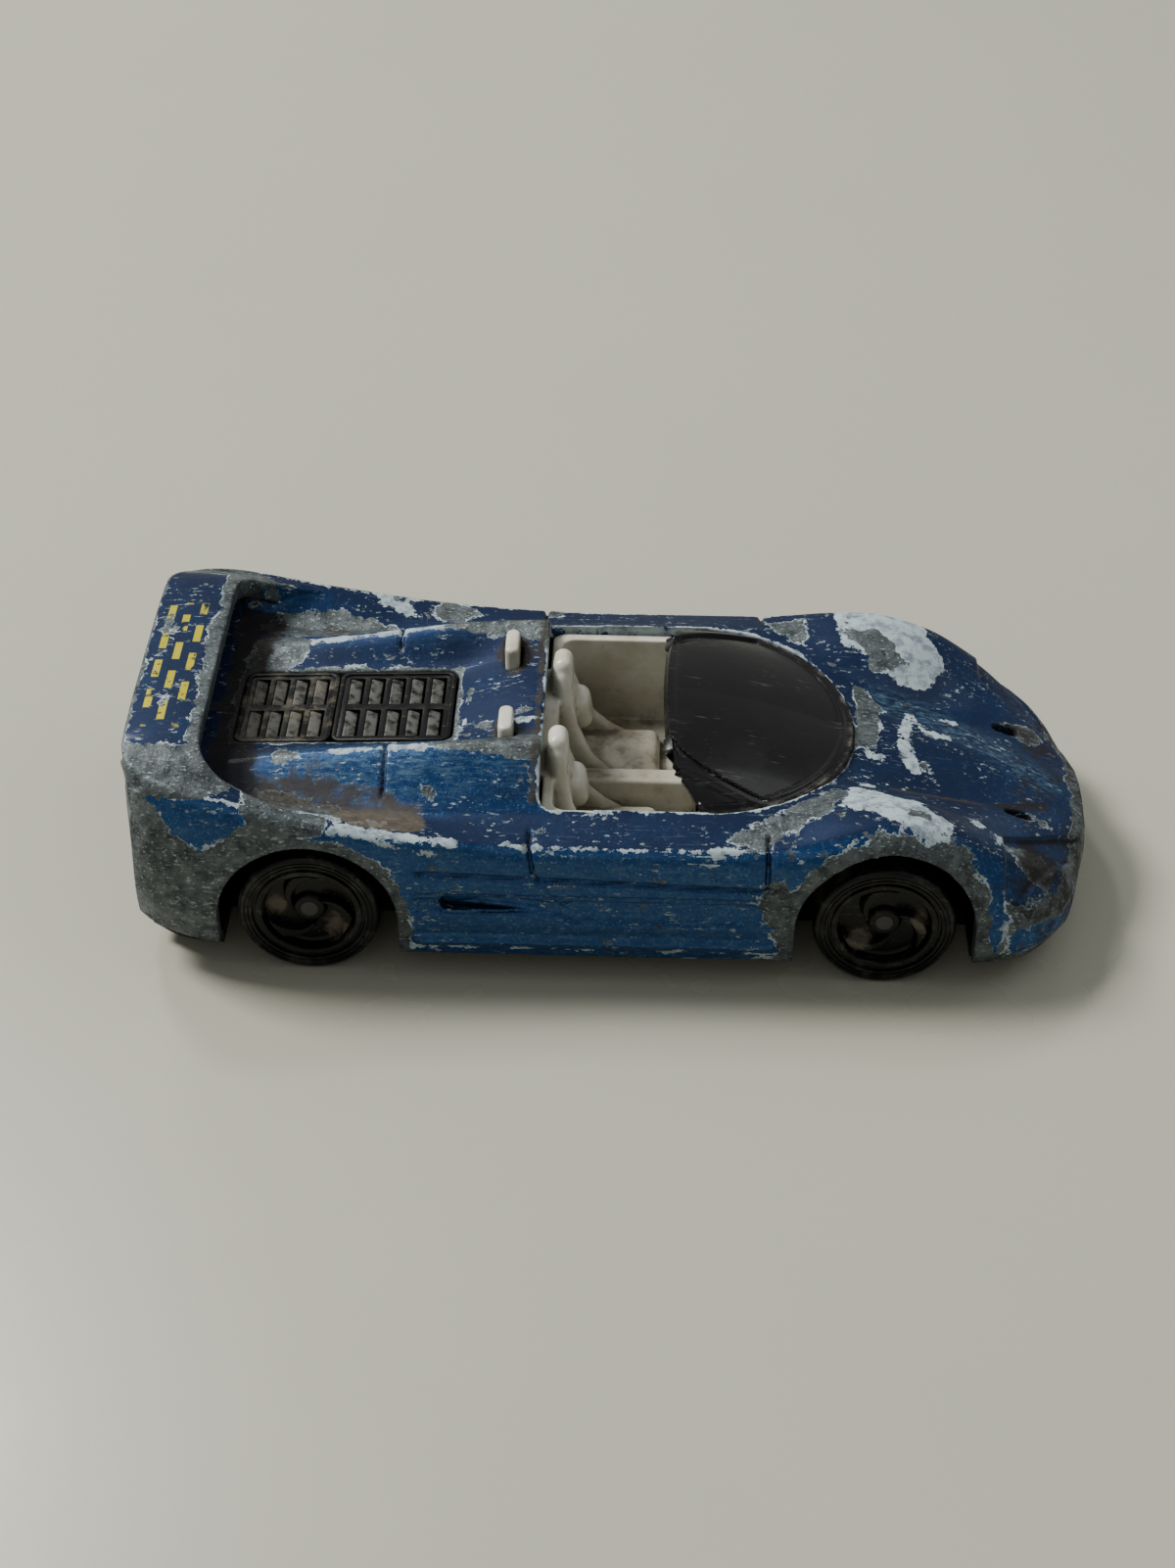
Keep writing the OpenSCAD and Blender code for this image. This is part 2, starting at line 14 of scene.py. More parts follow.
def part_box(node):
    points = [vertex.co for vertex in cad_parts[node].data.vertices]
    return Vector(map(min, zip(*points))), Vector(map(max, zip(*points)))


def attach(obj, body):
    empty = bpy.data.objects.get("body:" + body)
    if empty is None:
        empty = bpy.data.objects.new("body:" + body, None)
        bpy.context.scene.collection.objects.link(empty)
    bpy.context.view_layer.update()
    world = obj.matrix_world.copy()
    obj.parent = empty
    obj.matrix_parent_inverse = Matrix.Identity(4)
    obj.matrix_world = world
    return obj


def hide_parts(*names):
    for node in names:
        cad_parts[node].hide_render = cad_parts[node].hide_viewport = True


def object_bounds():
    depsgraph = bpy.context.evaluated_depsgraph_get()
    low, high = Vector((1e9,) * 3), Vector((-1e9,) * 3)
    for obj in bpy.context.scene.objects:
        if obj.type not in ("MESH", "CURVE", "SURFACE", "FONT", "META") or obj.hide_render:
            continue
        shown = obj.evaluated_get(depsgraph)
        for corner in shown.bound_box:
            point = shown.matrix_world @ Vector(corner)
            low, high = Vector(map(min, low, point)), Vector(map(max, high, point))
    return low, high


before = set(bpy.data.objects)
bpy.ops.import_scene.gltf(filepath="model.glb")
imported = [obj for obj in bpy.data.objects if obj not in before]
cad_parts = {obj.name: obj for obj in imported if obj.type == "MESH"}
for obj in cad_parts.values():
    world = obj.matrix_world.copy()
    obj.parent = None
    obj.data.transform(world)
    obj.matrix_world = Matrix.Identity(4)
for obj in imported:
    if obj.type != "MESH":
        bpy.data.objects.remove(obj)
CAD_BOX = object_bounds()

LOG = logging.getLogger("toy_car")
MM = 0.001
MERGE = 1e-7  # metres within which doubled points become one
OUTSIDE = -3.0  # millimetres, deeper than any worn edge is broken up
SPAN = 6.0  # millimetres of distance that a stored share from 0 to 1 covers
PLAN, SIDE, SPACE = (0, 1), (0, 2), (0, 1, 2)  # which coordinates count
Array = np.ndarray
Piece = bpy.types.Object
Point = Sequence[float]
Points = Sequence[Point]


# --- measures
@dataclass(frozen=True)
class Datums:
    """Places that the CAD frame fixes, in millimetres."""

    half_w: float
    x_nose: float
    x_tail: float
    front_x: float
    rear_x: float
    axle_z: float
    wheel_r: float
    wheel_out: float
    wheel_in: float
    arch_gap: float = 1.3
    door_top: float = 4.1
    sill_z: float = 1.9
    seat_gap: float = 0.1
    flank_margin: float = 0.9
    deck_back: float = -6.3
    deck_front: float = 9.5
    deck_half: float = 4.4
    lug_ahead: float = 13.5
    lug_aside: float = 4.8

    @classmethod
    def from_frame(cls) -> "Datums":
        """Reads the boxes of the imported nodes.

        Returns:
            The measures that every sub-assembly shares.
        """
        shell = [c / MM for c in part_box("body_shell")]
        front = [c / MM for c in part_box("wheel_front_left")]
        rear = [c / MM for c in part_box("wheel_rear_left")]
        return cls(
            half_w=front[1].y + cls.flank_margin, x_nose=shell[1].x, x_tail=shell[0].x,
            front_x=(front[0].x + front[1].x) / 2, rear_x=(rear[0].x + rear[1].x) / 2,
            axle_z=(front[0].z + front[1].z) / 2, wheel_r=(front[1].z - front[0].z) / 2,
            wheel_out=front[1].y, wheel_in=front[0].y)

    @property
    def arch_r(self) -> float:
        """Radius of the wheel arches."""
        return self.wheel_r + self.arch_gap

    @property
    def arch_top(self) -> float:
        """Height of the top of the wheel arches."""
        return self.axle_z + self.arch_r

    @property
    def cabin_half(self) -> float:
        """Half width of the cockpit opening."""
        return self.half_w - self.door_top

    @property
    def cabin_rear(self) -> float:
        """Rear edge of the cockpit opening."""
        return self.rear_x + 16

    @property
    def cabin_front(self) -> float:
        """Front tip of the cockpit opening."""
        return self.front_x - 1.9

    @property
    def screen_side(self) -> float:
        """Where the half ellipse of the opening starts."""
        return self.front_x - 13


# --- mesh tools
def deselect() -> None:
    """Leaves object mode with nothing selected."""
    if bpy.context.object and bpy.context.object.mode != "OBJECT":
        bpy.ops.object.mode_set(mode="OBJECT")
    bpy.ops.object.select_all(action="DESELECT")


def activate(piece: Piece) -> Piece:
    """Makes one piece the only selected and active one.

    Args:
        piece: The object to select.

    Returns:
        The same object.
    """
    deselect()
    piece.select_set(True)
    bpy.context.view_layer.objects.active = piece
    return piece


def named(name: str) -> Piece:
    """Names the piece that an operator just added and puts its place into its mesh.

    Args:
        name: The piece's name.

    Returns:
        The new piece.
    """
    piece = bpy.context.object
    piece.name = name
    piece.data.name = name
    activate(piece)
    bpy.ops.object.transform_apply(location=True, rotation=True, scale=True)
    return piece


def apply_modifier(piece: Piece, kind: str, **settings: object) -> None:
    """Adds a modifier and applies it at once.

    Args:
        piece: The piece to change.
        kind: Blender's name of the modifier type.
        **settings: The modifier's values.
    """
    activate(piece)
    mod = piece.modifiers.new(kind.lower(), kind)
    for key, value in settings.items():
        setattr(mod, key, value)
    bpy.ops.object.modifier_apply(modifier=mod.name)


def cut(piece: Piece, cutters: Sequence[Piece], how: str = "DIFFERENCE") -> None:
    """Takes cutters away from a piece, or adds them to it, and removes them.

    Args:
        piece: The closed mesh that is changed.
        cutters: Closed meshes.
        how: The boolean operation.
    """
    for tool in cutters:
        apply_modifier(piece, "BOOLEAN", object=tool, operation=how, solver="MANIFOLD")
        bpy.data.objects.remove(tool, do_unlink=True)


def edit(piece: Piece, steps: Callable[[], None]) -> None:
    """Runs edit-mode steps on the whole of a piece.

    Args:
        piece: The piece to edit.
        steps: What to do while everything is selected.
    """
    activate(piece)
    bpy.ops.object.mode_set(mode="EDIT")
    bpy.ops.mesh.select_all(action="SELECT")
    steps()
    bpy.ops.object.mode_set(mode="OBJECT")


def face_outwards(piece: Piece) -> None:
    """Merges doubles and turns every face outwards."""
    def steps() -> None:
        """Merge, then recalculate."""
        bpy.ops.mesh.remove_doubles(threshold=MERGE)
        bpy.ops.mesh.normals_make_consistent(inside=False)
    edit(piece, steps)


def face_up(piece: Piece) -> None:
    """Makes an open sheet's normals agree and point up."""
    edit(piece, lambda: bpy.ops.mesh.normals_make_consistent(inside=False))
    if normals_of(piece)[:, 2].mean() < 0:
        edit(piece, lambda: bpy.ops.mesh.flip_normals())


def points_of(piece: Piece) -> Array:
    """The piece's vertices in millimetres, one row each."""
    co = np.empty(len(piece.data.vertices) * 3, np.float32)
    piece.data.vertices.foreach_get("co", co)
    return co.reshape(-1, 3).astype(float) / MM


def set_points(piece: Piece, points: Array) -> None:
    """Moves the piece's vertices to the given rows, in millimetres."""
    piece.data.vertices.foreach_set("co", (points * MM).astype(np.float32).ravel())
    piece.data.update()


def normals_of(piece: Piece) -> Array:
    """The piece's vertex normals, one row each."""
    out = np.empty(len(piece.data.vertices) * 3, np.float32)
    piece.data.vertex_normals.foreach_get("vector", out)
    return out.reshape(-1, 3).astype(float)


def paint(piece: Piece, name: str, values: Array) -> None:
    """Stores one number for each vertex under a name that materials read."""
    layer = piece.data.attributes.new(name, "FLOAT", "POINT")
    layer.data.foreach_set("value", np.clip(values, 0, 1).astype(np.float32))


def box_piece(name: str, low: Point, high: Point, edge: float = 0.0,
              segments: int = 3) -> Piece:
    """A block between two corners with rounded edges.

    Args:
        name: The piece's name.
        low: Lowest corner in millimetres.
        high: Highest corner in millimetres.
        edge: Radius of the edges, or 0 for sharp ones.
        segments: Facets across each rounded edge.

    Returns:
        The block.
    """
    deselect()
    a, b = Vector(low) * MM, Vector(high) * MM
    bpy.ops.mesh.primitive_cube_add(size=1, location=(a + b) / 2, scale=b - a)
    piece = named(name)
    if edge:
        apply_modifier(piece, "BEVEL", width=edge * MM, segments=segments, limit_method="NONE")
    return piece


def ball(name: str, centre: Point, radii: Point, rings: int = 24) -> Piece:
    """An ellipsoid, given by its centre and radii in millimetres."""
    deselect()
    bpy.ops.mesh.primitive_uv_sphere_add(
        segments=rings * 2, ring_count=rings, radius=1, location=Vector(centre) * MM, scale=Vector(radii) * MM)
    return named(name)


def rod(name: str, start: Point, end: Point, radius: float, sides: int = 48,
        far_radius: float | None = None) -> Piece:
    """A round bar or cone between two points.

    Args:
        name: The piece's name.
        start: First end's centre in millimetres.
        end: Second end's centre in millimetres.
        radius: Radius at the first end.
        sides: Facets round the bar.
        far_radius: Radius at the second end, if it differs.

    Returns:
        The bar.
    """
    deselect()
    a, b = Vector(start) * MM, Vector(end) * MM
    far = radius if far_radius is None else far_radius
    bpy.ops.mesh.primitive_cone_add(
        vertices=sides, radius1=radius * MM, radius2=far * MM, depth=(b - a).length, location=(a + b) / 2,
        rotation=(b - a).to_track_quat("Z", "Y").to_euler())
    return named(name)


def prism(name: str, outline: Points, low: float, high: float) -> Piece:
    """A flat outline drawn up between two heights.

    Args:
        name: The piece's name.
        outline: Corners [x, y] in millimetres, in order.
        low: Height of the bottom.
        high: Height of the top.

    Returns:
        The prism.
    """
    deselect()
    bpy.ops.mesh.primitive_circle_add(vertices=len(outline), radius=1, fill_type="NGON")
    piece = named(name)
    set_points(piece, np.array([[x, y, low] for x, y in outline]))

    def steps() -> None:
        """Draw the face up."""
        bpy.ops.mesh.extrude_region_move(TRANSFORM_OT_translate={"value": (0, 0, (high - low) * MM)})
        bpy.ops.mesh.select_all(action="SELECT")
        bpy.ops.mesh.normals_make_consistent(inside=False)
    edit(piece, steps)
    return piece


def rounded_rect(x0: float, x1: float, half: float, r: float, n: int = 8) -> list[list[float]]:
    """Corners of a rectangle about the X axis, with round corners of radius r."""
    middles = ((x1 - r, half - r), (x0 + r, half - r), (x0 + r, r - half), (x1 - r, r - half))
    return [p for k, (cx, cy) in enumerate(middles) for p in arc(cx, cy, r, 90 * k, 90, n)]


def sheet_grid(name: str, nu: int, nv: int, shape: Callable[[Array, Array], Array]) -> Piece:
    """A grid whose points a formula places.

    Args:
        name: The piece's name.
        nu: Points along the first direction.
        nv: Points along the second direction.
        shape: Turns two arrays of shares from 0 to 1 into rows of millimetres.

    Returns:
        The open sheet.
    """
    deselect()
    bpy.ops.mesh.primitive_grid_add(x_subdivisions=nu - 1, y_subdivisions=nv - 1, size=1)
    piece = named(name)
    flat = points_of(piece) * MM
    set_points(piece, shape(flat[:, 0] + 0.5, flat[:, 1] + 0.5))
    return piece


def melt(piece: Piece, voxel: float, rounds: int) -> None:
    """Turns joined solids into one skin with soft cast edges.

    Args:
        piece: The piece, made of closed solids.
        voxel: Size of the remeshing cells in millimetres.
        rounds: Passes of smoothing.
    """
    apply_modifier(piece, "REMESH", mode="VOXEL", voxel_size=voxel * MM, adaptivity=0.0)
    apply_modifier(piece, "SMOOTH", factor=0.5, iterations=rounds)


def thin(piece: Piece, limit: int) -> None:
    """Collapses edges until at most limit triangles are left, and shades the piece smooth."""
    count = len(piece.data.loop_triangles) or 2 * len(piece.data.polygons)
    if count > limit:
        apply_modifier(piece, "DECIMATE", ratio=limit / count)
    activate(piece)
    bpy.ops.object.shade_smooth()


def shade_by_angle(piece: Piece, degrees: float) -> None:
    """Shades smooth except over edges sharper than the given angle."""
    activate(piece)
    bpy.ops.object.shade_smooth_by_angle(angle=math.radians(degrees))


def ease_edges(piece: Piece, width: float) -> None:
    """Rounds the sharp edges by a width in millimetres."""
    apply_modifier(piece, "BEVEL", width=width * MM, segments=2, limit_method="ANGLE", angle_limit=math.radians(50))


def arc(cx: float, cy: float, radius: float, start: float, sweep: float, n: int) -> list[list[float]]:
    """Points on an arc.

    Args:
        cx: Middle along X.
        cy: Middle along Y.
        radius: Radius of the arc.
        start: First angle in degrees.
        sweep: Angle that the arc covers.
        n: Stretches along the arc.

    Returns:
        n + 1 corners in order.
    """
    turns = [math.radians(start + sweep * i / n) for i in range(n + 1)]
    return [[cx + radius * math.cos(a), cy + radius * math.sin(a)] for a in turns]


def join(name: str, parts: Sequence[Piece]) -> Piece:
    """Joins parts into one object.

    Args:
        name: The joined piece's name.
        parts: What is joined, the first of them kept.

    Returns:
        The joined piece.
    """
    deselect()
    for part in parts:
        part.select_set(True)
    bpy.context.view_layer.objects.active = parts[0]
    bpy.ops.object.join()
    parts[0].name = name
    parts[0].data.name = name
    return parts[0]


def smoothstep(low: float, high: float, x: Array) -> Array:
    """0 below low, 1 above high, and a soft step between them."""
    t = np.clip((x - low) / (high - low), 0, 1)
    return t * t * (3 - 2 * t)


def near_path(points: Array, path: Points, axes: tuple[int, ...]) -> Array:
    """Distance of each point to a path of straight stretches.

    Args:
        points: Rows of millimetres.
        path: Corners of the path, with all three coordinates or one for each axis that counts.
        axes: Which coordinates count.

    Returns:
        One distance for each point.
    """
    p, corners = points[:, axes], np.array(path, float)
    corners = corners if corners.shape[1] == len(axes) else corners[:, axes]
    best = np.full(len(p), 1e9)
    for a, b in zip(corners[:-1], corners[1:]):
        d = b - a
        t = np.clip(((p - a) @ d) / max(d @ d, 1e-12), 0, 1)
        best = np.minimum(best, np.linalg.norm(p - a - t[:, None] * d, axis=1))
    return best


def region(points: Array, corners: Points, axes: tuple[int, ...] = PLAN) -> Array:
    """Signed distance into a flat area, positive inside it.

    Args:
        points: Rows of millimetres.
        corners: Corners of the area in order.
        axes: The two coordinates that count.

    Returns:
        One distance for each point.
    """
    p, loop = points[:, axes], np.array(corners, float)
    inside = np.zeros(len(p), bool)
    for a, b in zip(loop, np.roll(loop, -1, axis=0)):
        crosses = (a[1] > p[:, 1]) != (b[1] > p[:, 1])
        inside ^= crosses & (p[:, 0] < a[0] + (b[0] - a[0]) * (p[:, 1] - a[1]) / ((b[1] - a[1]) or 1e-9))
    reach = near_path(points, [*corners, corners[0]], axes)
    return np.where(inside, reach, -reach)


def spot(points: Array, centre: Point, radii: Point, axes: tuple[int, ...] = PLAN) -> Array:
    """Signed distance into an ellipse, positive inside it.

    Args:
        points: Rows of millimetres.
        centre: The ellipse's middle.
        radii: Its radii.
        axes: Which coordinates count.

    Returns:
        One distance for each point.
    """
    reach = np.array(radii, float)
    share = (points[:, axes] - np.array(centre, float)) / reach
    return (1 - np.linalg.norm(share, axis=1)) * reach.min()


class Area:
    """An area of the skin that grows patch by patch, kept as a signed distance in millimetres."""

    def __init__(self, points: Array) -> None:
        """Starts with no point inside."""
        self.points = points
        self.depth = np.full(len(points), OUTSIDE)

    def add(self, value: Array, where: Array | bool = True) -> None:
        """Adds a patch given by its signed distance, where a mask allows it."""
        np.maximum(self.depth, np.where(where, value, OUTSIDE), out=self.depth)

    def spare(self, value: Array, where: Array) -> None:
        """Takes a patch out again where a mask allows it."""
        self.depth = np.where(where, np.minimum(self.depth, -value), self.depth)

    def dot(self, centre: Point, radii: Point, where: Array | bool = True,
            axes: tuple[int, ...] = PLAN) -> None:
        """Adds an ellipse."""
        self.add(spot(self.points, centre, radii, axes), where)

    def line(self, path: Points, half: float, where: Array | bool = True, axes: tuple[int, ...] = PLAN) -> None:
        """Adds a strip of the given half width along a path."""
        self.add(half - near_path(self.points, path, axes), where)


def hull_of(name: str, parts: Sequence[Piece]) -> Piece:
    """Joins parts and wraps them in their convex hull."""
    piece = join(name, parts)
    edit(piece, lambda: bpy.ops.mesh.convex_hull(join_triangles=False))
    return piece


def lathe(name: str, profile: Array, steps: int) -> Piece:
    """Turns a closed profile about the Y axis.

    Args:
        name: The piece's name.
        profile: Rows [radius, y] in millimetres, the last joined to the first.
        steps: Facets round the axis.

    Returns:
        The closed ring.
    """
    loop = np.vstack([profile, profile[:1]])
    along = np.linspace(0, 1, len(loop))

    def shape(u: Array, v: Array) -> Array:
        """Places each grid point on the turned profile."""
        r, y = np.interp(u, along, loop[:, 0]), np.interp(u, along, loop[:, 1])
        a = 2 * np.pi * v
        return np.stack([r * np.cos(a), y, r * np.sin(a)], axis=1)
    piece = sheet_grid(name, len(loop), steps + 1, shape)
    face_outwards(piece)
    return piece


def bend_of(piece: Piece, passes: int = 3) -> Array:
    """How far each vertex stands out of its neighbours.

    Args:
        piece: The piece to measure.
        passes: Rounds of averaging over neighbours.

    Returns:
        Positive numbers on raised edges and negative ones in hollows, per millimetre.
    """
    mesh = piece.data
    ends = np.empty(len(mesh.edges) * 2, np.int32)
    mesh.edges.foreach_get("vertices", ends)
    a, b = ends[0::2], ends[1::2]
    p, n = points_of(piece), normals_of(piece)
    span = p[b] - p[a]
    gap = np.maximum((span ** 2).sum(1), 1e-6)
    count = np.bincount(a, minlength=len(p)) + np.bincount(b, minlength=len(p))
    rise = (np.bincount(a, -(span * n[a]).sum(1) / gap, len(p))
            + np.bincount(b, (span * n[b]).sum(1) / gap, len(p))) / np.maximum(count, 1)
    for _ in range(passes):
        rise = 0.4 * rise + 0.6 * (np.bincount(a, rise[b], len(p)) + np.bincount(b, rise[a], len(p))) / np.maximum(
            count, 1)
    return rise


# --- body lines
class Line(Enum):
    """Lines that run along the body, from the lower edge to the middle."""

    SILL = 0
    FLANK = 1
    WAIST = 2
    RIDGE = 3
    VALLEY = 4
    CREST = 5
    DECK = 6
    CENTRE = 7


@dataclass(frozen=True)
class BodyLines:
    """The body's character lines as [x, distance in from the flank, z]."""

    d: Datums

    def rows(self, line: Line) -> Array:
        """Gives the points of one line.

        Args:
            line: Which line.

        Returns:
            Rows of x, inset and height.
        """
        d = self.d
        tail, nose, xf, xr, top, sill, w = d.x_tail, d.x_nose, d.front_x, d.rear_x, d.arch_top, d.sill_z, d.half_w
        low = [tail, tail + 2.6, tail + 5.7, xr, xr + 9, xf - 7, xf + 1, xf + 9, nose - 2.2, nose]
        ridge = [*low[:5], xr + 21, xf - 9, xf, xf + 4, xf + 8, nose - 3.2, nose]
        valley = [tail, tail + 5.7, xr, xr + 9, xf - 13, xf - 7, xf - 2, xf + 2, xf + 6, xf + 10, nose]
        upper = [tail, tail + 7.3, xr + 9, xr + 15.5, xf - 7, xf - 2, xf + 3, xf + 8, nose]
        crest = [*upper[:2], xr, *upper[3:]]
        table = {
            Line.SILL: (low, [2.6, 1, 0.6, 0.5, 0.7, 0.7, 0.6, 1.4, 5, 12.4],
                        sill, [2.4, 1.5, 0.7, 0.1, 0, 0, 0, 0.1, 0.3, 0.5]),
            Line.FLANK: (low, [2, 0.5, 0.1, 0, 0.3, 0.3, 0.1, 0.7, 3.8, 11.6],
                         0, [7, 6.5, 5.5, 5, 5, 5, 4.6, 3.6, 3.6, 3.8]),
            Line.WAIST: (low, [2.8, 0.8, 0.3, 0.1, 0.3, 0.4, 0.4, 1.6, 4.6, 11.9],
                         top, [1.2, 0.7, 0.3, -0.3, -0.7, -0.9, -1.5, -4.6, -5.9, -6.5]),
            Line.RIDGE: (ridge, [4, 2.4, 1.5, 1.2, 0.9, 0.9, 1, 2.4, 2.8, 3.4, 5.6, 12.2],
                         top, [4.6, 4.3, 3.6, 2, 0.6, 0.1, 0.2, 1.6, 0.7, -1.5, -4.1, -5.6]),
            Line.VALLEY: (valley, [5.2, 4.4, 4.8, 3.9, 3.8, 4.3, 5.4, 6, 6.6, 8, 13.4],
                          top, [1.4, 0.9, 0.5, 0.6, 1, 0.9, 1.4, 0.9, -0.9, -2.9, -5.3]),
            Line.CREST: (crest, w - np.array([6.8, 7.1, 7.2, 7.7, 7.6, 6.5, 5.8, 5, 1.6]),
                         top, [0.9, 1.6, 2.3, 4, 0.9, 0.1, -1.3, -2.7, -5.1]),
            Line.DECK: (upper, w - np.array([4.3, 4.4, 4.6, 4.7, 4.8, 4, 3, 2.6, 1]),
                        top, [0.7, 1, 1.6, 2.9, 0.9, -0.1, -1.1, -2.4, -5]),
            Line.CENTRE: (upper, [w] * len(upper), top, [0.7, 1, 1.6, 3, 0.9, 0, -0.8, -2.1, -5]),
        }
        x, inset, base, rise = table[line]
        return np.column_stack([x, inset, base + np.array(rise)]).astype(float)

    def at(self, line: Line, x: Array) -> tuple[Array, Array]:
        """Follows one line smoothly.

        Args:
            line: Which line.
            x: Places along the body.

        Returns:
            The distance from the middle and the height at each place.
        """
        p = self.rows(line)
        c = np.clip(x, p[0, 0], p[-1, 0])
        i = np.clip(np.searchsorted(p[:, 0], c, "right") - 1, 0, len(p) - 2)
        h = np.diff(p[:, 0])
        t = (c - p[i, 0]) / h[i]
        s = 1 - t
        found = []
        for k in (1, 2):
            sec = np.diff(p[:, k]) / h
            prod = sec[:-1] * sec[1:]
            mid = np.where(prod > 0, 2 * prod / np.where(prod > 0, sec[:-1] + sec[1:], 1), 0)
            slope = np.concatenate([sec[:1], mid, sec[-1:]])
            found.append(p[i, k] * (1 + 2 * t) * s * s + slope[i] * h[i] * t * s * s
                         + p[i + 1, k] * (1 + 2 * s) * t * t - slope[i + 1] * h[i] * s * t * t)
        return np.maximum(self.d.half_w - found[0], 0), found[1]

    def path(self, line: Line, x0: float, x1: float, side: int = 1, n: int = 24) -> list[list[float]]:
        """Samples a line as a path of points on one side of the body."""
        x = np.linspace(x0, x1, n)
        y, z = self.at(line, x)
        return np.stack([x, side * y, z], axis=1).tolist()


